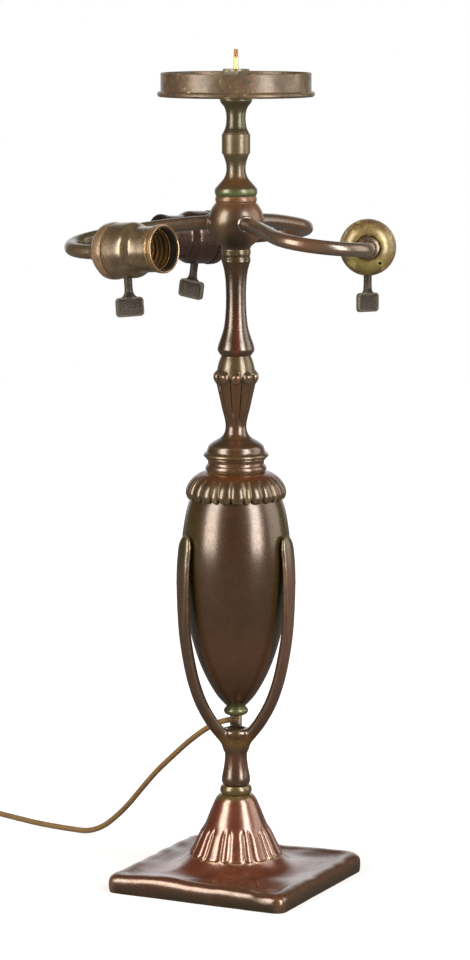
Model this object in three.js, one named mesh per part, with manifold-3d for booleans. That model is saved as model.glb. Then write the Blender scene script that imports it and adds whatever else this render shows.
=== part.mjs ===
// Table lamp base for three bulbs, in patinated bronze: a hollow square foot, a stem whose three fingers
// hold an urn, a turned column, a ball with three curved arms and key sockets, a ring for the shade,
// and a cloth covered cord. Millimetres, +Z up, origin on the lamp's axis at the underside of the foot,
// +X to the right and +Y away from the viewer.
import * as THREE from "three";
import { mergeVertices } from "three/addons/utils/BufferGeometryUtils.js";
import Module from "manifold-3d";

const wasm = await Module();
wasm.setup();

// Fits: between turned pieces that stand on each other, and round a piece that passes through another.
const seatGap = 0.1;
const fitGap = 0.3;

// The threaded pipe that holds the column together, and the rod that holds the stem to the foot.
const pipeRadius = 4.8;
const pipeWall = 1.2;
const boreRadius = pipeRadius + fitGap;

// Foot: a square slab with a rounded rim, drawn up into a fluted bell.
const footHalf = 66.2;
const footCorner = 7;
const footTurn = -26.07;
const footRim = 13.6;
const footDish = 10.4;
const footHeight = 61.4;
const footPlate = 5.4;
const bellWall = 3.4;
const footFlutes = 11;
const fluteTurn = 2.5;
const fluteDepth = 1;
const feltThickness = 2;
const feltInset = 2.9;
const feltClearance = 0.9;
const footNutHeight = 5.2;
const footNutRadius = 8;
const footWasherHeight = 1.5;
const footWasherRadius = 9.5;

// Ring between the foot and the stem.
const stemCollarHeight = 6.2;
const stemCollarRadius = 10.7;

// Stem with its three fingers.
const stemHeight = 40;
const stemNeck = 7.2;
const stemBoreDepth = 20;
const fingerCount = 3;
const fingerRadius = 3.6;
const fingerThinning = 0.5;
const fingerWidening = 1.3;
const fingerTipHeight = 172.2;
const fingerHip = 86.2;
const fingerHipGap = 10.5;
const fingerTipGap = 2.4;
const fingerStart = 90;

// Urn between the fingers.
const urnAboveStem = 16;
const urnHeight = 157;
const urnRadius = 37;
const urnWidest = 102;
const urnWall = 2.2;
const urnNeck = 7.6;
const urnTopRadius = 12;
const bushDrop = 7.3;
const bushRadius = 8.3;
const bushingHeight = 1.3;

// Screws from inside the urn into the fingers' tips.
const screwRadius = 1.2;
const screwHeadRadius = 2.6;
const screwHeadHeight = 1.4;
const screwBite = 1.2;

// Collar of petals over the urn's shoulder, and the ring above it.
const petalHeight = 18.3;
const petalPlate = 2.4;
const petalRadius = 33.8;
const petalGroups = 9;
const petalNarrow = 9;
const petalDepth = 1.6;
const petalTurn = 9.4;
const ringCollarHeight = 9.5;
const ringCollarRadius = 20.1;

// Turned column.
const vaseHeight = 68.7;
const vaseFlange = 22;
const vaseRadius = 15.3;
const vaseFlutes = 10;
const vaseTurn = 18;
const taperHeight = 71.3;
const taperRadius = 12.5;
const columnNeck = 6.75;

// Ball that carries the arms.
const ballHeight = 35.2;
const ballRadius = 18.8;
const ballCentre = 17.7;
const ballWall = 2.8;

// Risers and coupling under the shade ring.
const lowerRiserHeight = 27.4;
const lowerRiserRadius = 14.3;
const couplingHeight = 14;
const couplingRadius = 9.45;
const upperRiserHeight = 24;
const upperRiserRadius = 10.8;
const riserNeck = 6.45;

// Shade ring on its three spokes, its nut and the stud for the finial.
const shadeRingRadius = 50.1;
const shadeRingWall = 1.3;
const shadeRingHeight = 15.8;
const shadeFlange = 2.3;
const shadeFlangeHeight = 3.4;
const spokeCount = 3;
const spokeWidth = 8;
const spokeThickness = 2.2;
const spokeDrop = 8;
const hubHeight = 14.6;
const hubRadius = 7.6;
const ringNutHeight = 3.6;
const ringNutRadius = 10;
const studRadius = 1.65;
const studHeight = 13;
const studDepth = 18;

// Arms: straight out of the ball, round a bend, and straight into the socket's cap. Angles are in
// degrees. Each arm drops on its way, its socket's mouth tilts up, and its key stands as it was left.
const armRadius = 4.7;
const armWall = 1;
const armHoleGap = 0.7;
const armStart = 9.5;
const armBendRadius = 31.5;
const armGrip = 5.2;
const hubFromBend = 8;
const rightArm = {
  angle: -69,
  straight: 70,
  bend: 157,
  drop: 13.4,
  dropFrom: 5,
  tilt: -2,
  roll: 0,
  keyTurn: -45,
};
const leftArm = {
  angle: -188,
  straight: 73.7,
  bend: 151,
  drop: 16.3,
  dropFrom: 5,
  tilt: 4.5,
  roll: 0,
  keyTurn: 55,
};
const backArm = {
  angle: 54,
  straight: 72.5,
  bend: 160,
  drop: 17.6,
  dropFrom: 20,
  tilt: 2.5,
  roll: -9,
  keyTurn: -63,
};
const arms = { right: rightArm, left: leftArm, back: backArm };

// Sockets.
const capDepth = 16.4;
const capRadius = 18.9;
const capHub = 7.7;
const shellRadius = 18.65;
const shellBarrel = 14.6;
const shellNeck = 14.9;
const shellLength = 39;
const shellLip = 15.6;
const shellWall = 0.7;
const linerWall = 0.5;
const screwShellRadius = 13.35;
const screwShellWall = 0.6;
const screwShellStart = 17.9;
const screwShellEnd = 33.2;
const bodyStart = 1.2;
const bodyEnd = 17.6;
const contactRadius = 3.2;
const contactHeight = 1.4;

// Keys: a stem out of the shell's underside, and a flat paddle.
const keyFromSeam = 7;
const keyStemRadius = 2.75;
const keyHoleGap = 0.35;
const keyStemDrop = 11.8;
const keyWidth = 18.6;
const keyHeight = 12.6;
const keyThickness = 3;
const keyCorner = 2.6;
const keyShoulder = 1.6;
const keyShoulderHeight = 3;
const keyShoulderFlat = 0.56;
const rotorRadius = 2.5;
const rotorInner = 2;
const rotorLength = 9.6;

// Cord: its free stretch, and the coil that the rest of it is put away in.
const cordRadius = 2;
const cordSteps = 38;
const cordSides = 8;
const coilCentre = [-232, 232];
const coilInner = 16.6;
const coilPitch = 4.6;
const coilTurns = 2.5;
const coilLayers = 4;
const coilSteps = 12;
const coilSides = 6;
const tieWidth = 9;
const tieThickness = 1;
const tieClear = 0.8;
const tableGap = 0.1;
const plugLength = 26;
const plugRadius = 12.5;
const bladeLength = 15.9;
const bladeWidth = 6.4;
const bladeThickness = 1.5;
const bladeSpacing = 12.7;

// Facets around the turned pieces.
const wideSides = 22;
const middleSides = 18;
const smallSides = 14;
const tinySides = 10;
const shadeRingSides = 30;
const ballSides = 16;
const pipeSides = 12;

// Levels of the stack along the axis, from the table up.
const stemCollarBase = footHeight + seatGap;
const stemBase = stemCollarBase + stemCollarHeight + seatGap;
const stemTop = stemBase + stemHeight;
const urnBase = stemTop + urnAboveStem;
const urnTop = urnBase + urnHeight;
const petalTop = urnTop + fitGap + petalPlate;
const ringCollarBase = petalTop + seatGap;
const vaseBase = ringCollarBase + ringCollarHeight + seatGap;
const taperBase = vaseBase + vaseHeight + seatGap;
const ballBase = taperBase + taperHeight + seatGap;
const lowerRiserBase = ballBase + ballHeight + seatGap;
const couplingBase = lowerRiserBase + lowerRiserHeight + seatGap;
const upperRiserBase = couplingBase + couplingHeight + seatGap;
const shadeRingBase = upperRiserBase + upperRiserHeight + seatGap;
const ringNutBase = shadeRingBase + hubHeight + seatGap;
const ringNutTop = ringNutBase + ringNutHeight;

const finish = (color, roughness, metalness) =>
  new THREE.MeshStandardMaterial({ color, roughness, metalness });
const brownBronze = finish(0x4b3529, 0.4, 0.85);
const redBronze = finish(0x6a3424, 0.38, 0.85);
const greenBronze = finish(0x4d5637, 0.55, 0.7);
const copperBronze = finish(0x7a4a31, 0.35, 0.9);
const agedBrass = finish(0x7c6638, 0.42, 0.9);
const darkBrass = finish(0x5b4a34, 0.42, 0.9);
const brightBrass = finish(0xc59a4a, 0.28, 1);
const steel = finish(0x6d6a66, 0.5, 0.9);
const keyIron = finish(0x35342f, 0.55, 0.6);
const fibre = finish(0x17130f, 0.8, 0);
const porcelain = finish(0xd9d2c0, 0.35, 0);
const felt = finish(0x2c3a26, 0.95, 0);
const cloth = finish(0x7a5f3c, 0.9, 0);
const bakelite = finish(0x2a1a12, 0.4, 0);

const lamp = new THREE.Group();
const degrees = THREE.MathUtils.degToRad;

function add(name, geometry, material, parent = lamp) {
  const mesh = new THREE.Mesh(geometry, material);
  mesh.name = name;
  parent.add(mesh);
  return mesh;
}

// Points [radius, height] on a smooth curve through the given ones.
function through(steps, points) {
  const curve = new THREE.SplineCurve(points.map(([r, z]) => new THREE.Vector2(r, z)));
  return curve.getPoints(steps).map((p) => [p.x, p.y]);
}

// Points [radius, height] on a round arc, from one angle to another in degrees.
function arc(centreHeight, radius, from, to, steps) {
  return Array.from({ length: steps + 1 }, (_, i) => {
    const angle = degrees(from + ((to - from) * i) / steps);
    return [radius * Math.cos(angle), centreHeight + radius * Math.sin(angle)];
  });
}

// A piece turned about +Z. The outline goes up the outside and down the inside, and closes on itself
// unless it starts and ends on the axis.
function turned(outline, sides) {
  const onAxis = outline[0][0] === 0;
  const closed = onAxis ? outline : [...outline, outline[0]];
  const points = closed.map(([r, z]) => new THREE.Vector2(r, z));
  return new THREE.LatheGeometry(points, sides).rotateX(Math.PI / 2);
}

// Moves every vertex of a geometry to the place that the change gives for it.
function reshaped(geometry, change) {
  const place = geometry.getAttribute("position");
  const vertex = new THREE.Vector3();
  for (let i = 0; i < place.count; i++) {
    change(vertex.fromBufferAttribute(place, i));
    place.setXYZ(i, vertex.x, vertex.y, vertex.z);
  }
  return geometry;
}

// A geometry as a solid that can be cut and joined, and back again.
function solid(geometry) {
  const bare = geometry.index ? geometry.toNonIndexed() : geometry.clone();
  bare.deleteAttribute("normal");
  bare.deleteAttribute("uv");
  const merged = mergeVertices(bare, 1e-3);
  const vertProperties = merged.getAttribute("position").array;
  const triVerts = new Uint32Array(merged.index.array);
  return new wasm.Manifold(new wasm.Mesh({ numProp: 3, vertProperties, triVerts }));
}

function shape(made) {
  const mesh = made.getMesh();
  const geometry = new THREE.BufferGeometry();
  geometry.setAttribute("position", new THREE.BufferAttribute(mesh.vertProperties, 3));
  geometry.setIndex(new THREE.BufferAttribute(mesh.triVerts, 1));
  const facets = geometry.toNonIndexed();
  facets.computeVertexNormals();
  return facets;
}

function cut(geometry, ...tools) {
  return shape(tools.reduce((left, tool) => left.subtract(solid(tool)), solid(geometry)));
}

function join(geometry, ...others) {
  return shape(others.reduce((sum, other) => sum.add(solid(other)), solid(geometry)));
}

// A rod between two heights on +Z.
function rod(radius, from, to, sides) {
  const geometry = new THREE.CylinderGeometry(radius, radius, to - from, sides);
  return geometry.rotateX(Math.PI / 2).translate(0, 0, (from + to) / 2);
}

// A round or hollow bar along a path.
function bar(path, steps, radius, sides, hole, holeSides) {
  const section = new THREE.Shape();
  section.setFromPoints(ringPoints(radius, sides));
  if (hole) section.holes.push(new THREE.Path(ringPoints(hole, holeSides)));
  return new THREE.ExtrudeGeometry(section, { steps, extrudePath: path, bevelEnabled: false });
}

function ringPoints(radius, sides) {
  return Array.from({ length: sides }, (_, i) => {
    const angle = (2 * Math.PI * i) / sides;
    return new THREE.Vector2(radius * Math.cos(angle), radius * Math.sin(angle));
  });
}

function rectangle(width, height, corner) {
  const x = width / 2;
  const y = height / 2;
  const outline = new THREE.Shape();
  outline.moveTo(x, y - corner);
  outline.absarc(x - corner, y - corner, corner, 0, Math.PI / 2, false);
  outline.absarc(corner - x, y - corner, corner, Math.PI / 2, Math.PI, false);
  outline.absarc(corner - x, corner - y, corner, Math.PI, 1.5 * Math.PI, false);
  outline.absarc(x - corner, corner - y, corner, 1.5 * Math.PI, 2 * Math.PI, false);
  return outline;
}

// Foot. Four facets for each pair of flutes, shared out over the four sides of the square.
const footSides = 4 * footFlutes;
const bellTop = 41.5;
const bellFoot = 21;
const bellWaist = 24.2;

// How square the foot is at a radius: round in the bell, square from the dish outwards.
function squareness(radius) {
  return THREE.MathUtils.smoothstep(radius, 30, footHalf - 8);
}

function squared(vertex) {
  const radius = Math.hypot(vertex.x, vertex.y);
  const share = squareness(radius);
  const angle = Math.atan2(vertex.y, vertex.x);
  const side = Math.round(angle / (Math.PI / 2));
  const turn = (side * Math.PI) / 2;
  const step = Math.round(((angle - turn) * footSides) / (2 * Math.PI));
  const lastStep = Math.floor(footSides / 8);
  const corner = footCorner * (radius / footHalf);
  const atCorner = Math.abs(step) === lastStep;
  const out = radius - (atCorner ? corner * (1 - Math.cos(Math.PI / 8)) : 0);
  const cornerAcross = Math.sign(step) * (radius - corner * (1 - Math.sin(Math.PI / 8)));
  const across = atCorner ? cornerAcross : ((radius - corner) * step) / (lastStep - 1);
  const x = out * Math.cos(turn) - across * Math.sin(turn);
  const y = out * Math.sin(turn) + across * Math.cos(turn);
  vertex.x += (x - vertex.x) * share;
  vertex.y += (y - vertex.y) * share;
}

// Wide and narrow flutes by turns: a crest, a groove, a narrow crest and a groove.
function fluted(vertex, count, depth, low, high, turn = 0) {
  const radius = Math.hypot(vertex.x, vertex.y);
  const inBand = vertex.z > low && vertex.z < high;
  if (!inBand || radius < boreRadius + 1) return;
  const angle = Math.atan2(vertex.y, vertex.x);
  const quarter = Math.PI / (2 * count);
  const step = Math.round(angle / quarter);
  const place = ((step % 4) + 4) % 4;
  const groove = place % 2 === 1;
  const widening = groove ? (place === 1 ? 0.3 : -0.3) * quarter : 0;
  const moved = step * quarter + widening + turn;
  const grown = radius + (groove ? -depth : 0.5 * depth);
  vertex.x = grown * Math.cos(moved);
  vertex.y = grown * Math.sin(moved);
}

const footOutline = [
  [footHalf, 0],
  [footHalf + 0.4, 7],
  [footHalf - 1.4, footRim - 2],
  [footHalf - 5.4, footRim],
  [footHalf - 12, footDish + 0.8],
  [45, footDish],
  [33, footDish + 3.2],
  [27.6, bellFoot + 1],
  [bellWaist, 31],
  [21.8, bellTop - 4],
  [20.2, bellTop],
  [16.9, 51.5],
  [13.5, footHeight - 2],
  [11, footHeight],
  [boreRadius, footHeight],
  [boreRadius, footHeight - footPlate],
  [11, footHeight - footPlate],
  [17.8 - bellWall, 46],
  [bellWaist - bellWall - 1, 29],
  [34, footDish - bellWall + 0.4],
  [footHalf - 7, footDish - bellWall + 0.4],
  [footHalf - feltInset, feltThickness + seatGap],
  [footHalf - feltInset, 0],
];
const footGroup = new THREE.Group();
footGroup.rotation.z = degrees(footTurn);
lamp.add(footGroup);
const footGeometry = reshaped(turned(footOutline, footSides), (vertex) => {
  const radius = Math.hypot(vertex.x, vertex.y);
  const outside = radius > bellWaist - bellWall || vertex.z > bellTop - 5;
  if (outside) fluted(vertex, footFlutes, fluteDepth, bellFoot, bellTop - 1, degrees(fluteTurn));
  squared(vertex);
});
add("foot", footGeometry, redBronze, footGroup);

const feltHalf = footHalf - feltInset - feltClearance;
const feltOutline = rectangle(2 * feltHalf, 2 * feltHalf, footCorner);
const feltSheet = new THREE.ExtrudeGeometry(feltOutline, {
  depth: feltThickness,
  bevelEnabled: false,
  curveSegments: 2,
});
add("base_felt", feltSheet, felt, footGroup);

// A flat washer and a six-sided nut on the rod, under the foot's top plate.
function nut(radius, bore, height) {
  const outline = new THREE.Shape(ringPoints(radius, 6));
  outline.holes.push(new THREE.Path(ringPoints(bore, tinySides)));
  return new THREE.ExtrudeGeometry(outline, { depth: height, bevelEnabled: false });
}
function ringBlock(radius, bore, height, sides) {
  return turned([[radius, 0], [radius, height], [bore, height], [bore, 0]], sides);
}
const washerBase = footHeight - footPlate - seatGap - footWasherHeight;
const footNutBase = washerBase - seatGap - footNutHeight;
add("foot_washer", ringBlock(footWasherRadius, boreRadius, footWasherHeight, smallSides), steel)
  .position.z = washerBase;
add("foot_nut", nut(footNutRadius, boreRadius, footNutHeight), steel)
  .position.z = footNutBase;
const rodBottom = footNutBase - 3;
const rodTop = stemBase + stemBoreDepth - fitGap;
const rodOutline = [
  [pipeRadius, rodBottom],
  [pipeRadius, rodTop],
  [pipeRadius - pipeWall, rodTop],
  [pipeRadius - pipeWall, rodBottom],
];
add("stem_rod", turned(rodOutline, tinySides), steel);

// Ring between the foot and the stem.
const stemCollarOutline = [
  [stemCollarRadius - 1.4, 0],
  [stemCollarRadius, 1.8],
  [stemCollarRadius, 4],
  [stemCollarRadius - 1, stemCollarHeight],
  [boreRadius, stemCollarHeight],
  [boreRadius, 0],
];
add("stem_collar", turned(stemCollarOutline, middleSides), greenBronze)
  .position.z = stemCollarBase;

// Stem: turned below, blind bored for the rod, with three fingers that spring from its head.
const stemOutline = [
  [0, stemBoreDepth],
  [boreRadius, stemBoreDepth],
  [boreRadius, 0],
  [stemNeck + 1.3, 0],
  [stemNeck + 2.4, 2.4],
  [stemNeck + 2.4, 5],
  [stemNeck + 1.2, 10],
  [stemNeck + 0.2, 16],
  [stemNeck, 21.7],
  [stemNeck + 0.5, 27],
  [stemNeck + 1.9, 32.5],
  [stemNeck + 1.6, stemHeight - 3.5],
  [3.4, stemHeight],
  [0, stemHeight],
];

// The urn's outside, from its base, which the fingers follow too.
const urnSwell = [
  [urnNeck, 0],
  [12.4, 5.4],
  [19.2, 16.6],
  [25.5, 31],
  [31.2, 51],
  [urnRadius - 2, 74],
  [urnRadius, urnWidest],
  [urnRadius - 1.4, urnHeight - 36],
  [urnRadius - 5.6, urnHeight - 16.6],
];
function urnRadiusAt(level) {
  const above = Math.max(1, urnSwell.findIndex(([, z]) => z >= level));
  const [lowRadius, low] = urnSwell[above - 1];
  const [highRadius, high] = urnSwell[above];
  return lowRadius + ((highRadius - lowRadius) * (level - low)) / (high - low);
}

// A finger leaves the stem in a curve. From its hip up it follows the urn, and closes on it towards the tip.
const urnFromStem = stemHeight + urnAboveStem;
function fingerPoint(share) {
  const height = fingerHip + share * (fingerTipHeight - fingerHip);
  const gap = fingerTipGap + (fingerHipGap - fingerTipGap) * (1 - share) ** 1.35;
  return [urnRadiusAt(height - urnFromStem) + gap, height];
}
const fingerPath = new THREE.CatmullRomCurve3(
  [
    [5, 31],
    [12, stemHeight - 3.6],
    [18.5, 44.6],
    [26.7, 58.4],
    [32.2, 72.2],
    ...[0, 0.24, 0.47, 0.73, 1].map(fingerPoint),
  ].map(([r, z]) => new THREE.Vector3(r, 0, z)),
);
const tipRadius = fingerPoint(1)[0];
const fingerSteps = 11;
const fingerSides = 6;
const fingerCentres = fingerPath.getSpacedPoints(fingerSteps);

// A finger thins and widens towards its tip, which lies flat against the urn.
function thinned(vertex) {
  const centre = fingerCentres.reduce((near, c) =>
    c.distanceTo(vertex) < near.distanceTo(vertex) ? c : near,
  );
  const share = THREE.MathUtils.smoothstep(centre.z, fingerTipHeight - 42, fingerTipHeight);
  vertex.x = centre.x + (vertex.x - centre.x) * (1 - (1 - fingerThinning) * share);
  vertex.y *= 1 + (fingerWidening - 1) * share;
}
function finger() {
  const tip = new THREE.SphereGeometry(fingerRadius, fingerSides, 4);
  tip.scale(fingerThinning, fingerWidening * 0.98, 0.98).translate(tipRadius, 0, fingerTipHeight);
  const length = reshaped(bar(fingerPath, fingerSteps, fingerRadius, fingerSides), thinned);
  return shape(solid(length).add(solid(tip)));
}
const fingerAngles = Array.from({ length: fingerCount }, (_, i) =>
  degrees(fingerStart + (i * 360) / fingerCount),
);

// What a screw needs cut for it, and the screw itself, along +X at the fingertips' level.
const screwLevel = fingerTipHeight - 1.5;
const tipLevel = screwLevel - urnFromStem;
const tipInner = tipRadius - fingerRadius * fingerThinning;
function radialRod(radius, from, to) {
  return new THREE.CylinderGeometry(radius, radius, to - from, 8)
    .rotateZ(Math.PI / 2)
    .translate((from + to) / 2, 0, 0);
}
const stemBlanks = fingerAngles.map((angle) => finger().rotateZ(angle));
const stemHoles = fingerAngles.map((angle) =>
  radialRod(screwRadius + fitGap, tipInner - 4, tipInner + screwBite + fitGap)
    .translate(0, 0, screwLevel)
    .rotateZ(angle),
);
const stemWhole = join(turned(stemOutline, middleSides), ...stemBlanks);
add("yoke", cut(stemWhole, ...stemHoles), brownBronze).position.z = stemBase;

// Urn: a thin walled shell, open at both ends for the pipe.
const urnInner = urnSwell.slice(2).map(([r, z]) => [r - urnWall, z]).reverse();
const urnOutline = [
  ...through(10, urnSwell),
  [urnRadius - 11, urnHeight - 7.5],
  [urnTopRadius, urnHeight],
  [boreRadius, urnHeight],
  [boreRadius, urnHeight - 3],
  [urnRadius - 14.5, urnHeight - 9],
  ...through(4, urnInner),
  [boreRadius + 1, 6],
  [boreRadius, 4],
  [boreRadius, 0],
];
const screwedRadius = urnRadiusAt(tipLevel);
const urnHoles = fingerAngles.map((angle) =>
  radialRod(screwRadius + fitGap, screwedRadius - 6, screwedRadius + 6)
    .translate(0, 0, tipLevel)
    .rotateZ(angle),
);
add("urn_body", cut(turned(urnOutline, wideSides), ...urnHoles), brownBronze)
  .position.z = urnBase;

// The screws: a head inside the urn's wall, and a shank into the fingertip.
const urnInside = urnRadiusAt(tipLevel + screwHeadRadius) - urnWall - 1.2;
fingerAngles.forEach((angle, i) => {
  const head = radialRod(screwHeadRadius, urnInside - screwHeadHeight, urnInside);
  const shank = radialRod(screwRadius, urnInside - 0.5, tipInner + screwBite);
  const screw = join(head, shank).translate(0, 0, stemBase + screwLevel).rotateZ(angle);
  add("yoke_screw_" + (i + 1), screw, steel);
});

// Bush under the urn, and the insulating ring in it that the cord leaves through.
const bushOutline = [
  [bushRadius - 2.6, -bushDrop],
  [bushRadius - 0.8, -bushDrop + 1],
  [bushRadius, -bushDrop + 3],
  [bushRadius - 0.7, -bushDrop + 4.8],
  [bushRadius - 1.8, -bushDrop + 5.8],
  [bushRadius - 1, -seatGap],
  [boreRadius, -seatGap],
  [boreRadius, -bushDrop],
];
add("urn_bush", turned(bushOutline, smallSides), greenBronze).position.z = urnBase;
const bushingBase = urnBase - bushDrop;
add("cord_bushing", ringBlock(pipeRadius, cordRadius + fitGap, bushingHeight, tinySides), fibre)
  .position.z = bushingBase;

// Collar of petals: nine groups of a narrow lobe and two wide ones, over the urn's shoulder.
const petalLobes = 3 * petalGroups;
const petalWide = (360 / petalGroups - petalNarrow) / 2;
const petalEdges = [0, petalNarrow, petalNarrow + petalWide, 2 * petalWide + petalNarrow];
const petalStops = petalEdges
  .slice(0, 3)
  .flatMap((edge, i) => [edge, (edge + petalEdges[i + 1]) / 2]);
function petalled(vertex) {
  const radius = Math.hypot(vertex.x, vertex.y);
  const angle = THREE.MathUtils.radToDeg(Math.atan2(vertex.y, vertex.x)) + 90;
  const step = Math.round(angle / (180 / petalLobes));
  const place = ((step % 6) + 6) % 6;
  const group = Math.floor(step / 6);
  const turn = degrees(group * (360 / petalGroups) + petalStops[place] - 90);
  const grooved = place % 2 === 0;
  const outside = radius > petalRadius - 8 && vertex.z > 1 - petalHeight;
  const grown = radius - (grooved && outside ? petalDepth : 0);
  vertex.x = grown * Math.cos(turn);
  vertex.y = grown * Math.sin(turn);
}
const petalOutline = [
  [petalRadius - 1.6, -petalHeight],
  [petalRadius, -petalHeight + 4.4],
  [petalRadius - 0.9, -petalHeight + 8],
  [petalRadius - 5.4, -petalHeight + 14.6],
  [ringCollarRadius + 0.4, 0],
  [boreRadius, 0],
  [boreRadius, -petalPlate],
  [urnTopRadius + 3, -petalPlate],
  [30.4, -petalPlate - 8.6],
  [31.8, -petalHeight],
];
const petalGeometry = turned(petalOutline, 2 * petalLobes);
const petalCollar = add("petal_collar", reshaped(petalGeometry, petalled), brownBronze);
petalCollar.position.z = petalTop;
petalCollar.rotation.z = degrees(petalTurn);

// Three rings turned in one collar.
const ringCollarOutline = [
  [ringCollarRadius - 0.1, 0],
  [ringCollarRadius, 4.6],
  [ringCollarRadius - 0.8, 5.4],
  [ringCollarRadius, 6.6],
  [ringCollarRadius, 8.4],
  [ringCollarRadius - 0.5, ringCollarHeight],
  [boreRadius, ringCollarHeight],
  [boreRadius, 0],
];
add("ring_collar", turned(ringCollarOutline, middleSides), copperBronze)
  .position.z = ringCollarBase;

// Vase shaped column: a flange and dome below, a fluted cup above.
const vaseOutline = [
  [vaseFlange - 1.1, 0],
  [vaseFlange, 1.2],
  [vaseFlange - 0.8, 3.1],
  [vaseFlange - 2.6, 4.6],
  [vaseFlange - 3.4, 8],
  [13.3, 11.6],
  [9.4, 14.2],
  [7.25, 20],
  [8.2, 25.5],
  [12, 41],
  [vaseRadius - 0.4, 52],
  [vaseRadius - 0.2, 57],
  [12.4, 60.6],
  [10.2, vaseHeight],
  [boreRadius, vaseHeight],
  [boreRadius, 0],
];
const vaseGeometry = reshaped(turned(vaseOutline, 4 * vaseFlutes), (vertex) => {
  fluted(vertex, vaseFlutes, 0.9, 33, 58);
});
const vaseColumn = add("vase_column", vaseGeometry, brownBronze);
vaseColumn.position.z = vaseBase;
vaseColumn.rotation.z = degrees(vaseTurn);

// Tapered column: a bead below, two rings above.
const taperOutline = [
  [10.1, 0],
  ...through(4, [[11.4, 2], [taperRadius, 4.5], [11.4, 8.6], [9.4, 14.4]]),
  ...through(5, [[8.2, 19], [7.3, 26], [columnNeck, 38.6], [7.1, 50.6], [9.4, 62.6]]),
  [9.7, 63.4],
  [9.7, 66],
  [8.9, 66.8],
  [9.8, 67.6],
  [9.8, taperHeight],
  [boreRadius, taperHeight],
  [boreRadius, 0],
];
add("taper_column", turned(taperOutline, smallSides), redBronze).position.z = taperBase;

// Ball: hollow, with a short collar, and three holes for the arms.
const ballInner = ballRadius - ballWall;
const lowAngle = -58;
const highAngle = 45;
const innerLow = -THREE.MathUtils.radToDeg(Math.acos(boreRadius / ballInner));
const ballOutline = [
  [9.4, 0],
  ...arc(ballCentre, ballRadius, lowAngle, highAngle, 7),
  [13.7, 31.4],
  [13.8, 33.4],
  [13.4, ballHeight],
  [boreRadius, ballHeight],
  ...arc(ballCentre, ballInner, -innerLow, innerLow, 4),
  [boreRadius, 0],
];
const armHoleRadius = armRadius + armHoleGap;
const armHoles = Object.values(arms).map(({ angle }) =>
  new THREE.CylinderGeometry(armHoleRadius, armHoleRadius, 24, tinySides)
    .rotateZ(Math.PI / 2)
    .translate(ballRadius, 0, ballCentre)
    .rotateZ(degrees(angle)),
);
add("cluster_body", cut(turned(ballOutline, ballSides), ...armHoles), brownBronze)
  .position.z = ballBase;

// Risers and coupling.
const lowerRiserOutline = [
  [lowerRiserRadius - 1, 0],
  [lowerRiserRadius, 3.3],
  [lowerRiserRadius - 1, 6],
  [10.7, 8.7],
  [8.3, 11.5],
  [6.8, 15],
  [riserNeck, 18.5],
  [7, 22.6],
  [8.6, lowerRiserHeight],
  [boreRadius, lowerRiserHeight],
  [boreRadius, 0],
];
add("lower_riser", turned(lowerRiserOutline, smallSides), greenBronze)
  .position.z = lowerRiserBase;
const couplingOutline = [
  [couplingRadius - 0.7, 0],
  [couplingRadius, 1.4],
  [couplingRadius, couplingHeight - 1.6],
  [couplingRadius - 0.5, couplingHeight],
  [boreRadius, couplingHeight],
  [boreRadius, 0],
];
add("riser_coupling", turned(couplingOutline, smallSides), brownBronze)
  .position.z = couplingBase;
const upperRiserOutline = [
  [8.8, 0],
  [7.3, 3.3],
  [riserNeck + 0.1, 7.5],
  [riserNeck, 10],
  [6.8, 14],
  [8, 17.3],
  [upperRiserRadius - 0.6, 20],
  [upperRiserRadius, 22.5],
  [upperRiserRadius - 0.4, upperRiserHeight],
  [boreRadius, upperRiserHeight],
  [boreRadius, 0],
];
add("upper_riser", turned(upperRiserOutline, smallSides), greenBronze)
  .position.z = upperRiserBase;

// Shade ring: a band with a rolled flange below, three spokes and a hub.
const bandInner = shadeRingRadius - shadeRingWall;
const bandOutline = [
  [shadeRingRadius, 0],
  [shadeRingRadius + shadeFlange - 0.6, 0.4],
  [shadeRingRadius + shadeFlange, shadeFlangeHeight / 2],
  [shadeRingRadius + shadeFlange - 0.6, shadeFlangeHeight - 0.4],
  [shadeRingRadius, shadeFlangeHeight],
  [shadeRingRadius, shadeRingHeight],
  [bandInner, shadeRingHeight],
  [bandInner, 0],
];
const hubOutline = [
  [hubRadius + 0.8, 0],
  [hubRadius, 2],
  [hubRadius, hubHeight],
  [boreRadius, hubHeight],
  [boreRadius, 0],
];
const spokeRun = bandInner - hubRadius + 1.6;
const spokeSlope = Math.atan2(spokeDrop, spokeRun);
const spokes = Array.from({ length: spokeCount }, (_, i) =>
  new THREE.BoxGeometry(Math.hypot(spokeRun, spokeDrop), spokeWidth, spokeThickness)
    .rotateY(spokeSlope)
    .translate(hubRadius - 0.8 + spokeRun / 2, 0, hubHeight - 3 - spokeDrop / 2)
    .rotateZ(degrees(30 + (i * 360) / spokeCount)),
);
const shadeRing = join(turned(bandOutline, shadeRingSides), turned(hubOutline, smallSides), ...spokes);
add("shade_ring", shadeRing, agedBrass).position.z = shadeRingBase;

// Nut on the pipe's end, closed over the pipe and bored for the stud.
const nutCap = 1.4;
const nutBore = rod(boreRadius, -1, ringNutHeight - nutCap, 12);
const nutHole = rod(studRadius + fitGap, 0, ringNutHeight + 1, tinySides);
const nutBlank = new THREE.CylinderGeometry(ringNutRadius - 1, ringNutRadius, ringNutHeight, 6);
nutBlank.rotateX(Math.PI / 2).translate(0, 0, ringNutHeight / 2);
add("ring_nut", cut(nutBlank, nutBore, nutHole), darkBrass).position.z = ringNutBase;
const studCollar = pipeRadius - pipeWall - fitGap;
const pipeTop = ringNutTop - nutCap - fitGap;
const studOutline = [
  [0, -studDepth],
  [studRadius, -studDepth],
  [studRadius, pipeTop - ringNutTop - 6],
  [studCollar, pipeTop - ringNutTop - 6],
  [studCollar, pipeTop - ringNutTop - 1],
  [studRadius, pipeTop - ringNutTop - 1],
  [studRadius, studHeight - 0.5],
  [studRadius - 0.5, studHeight],
  [0, studHeight],
];
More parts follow.
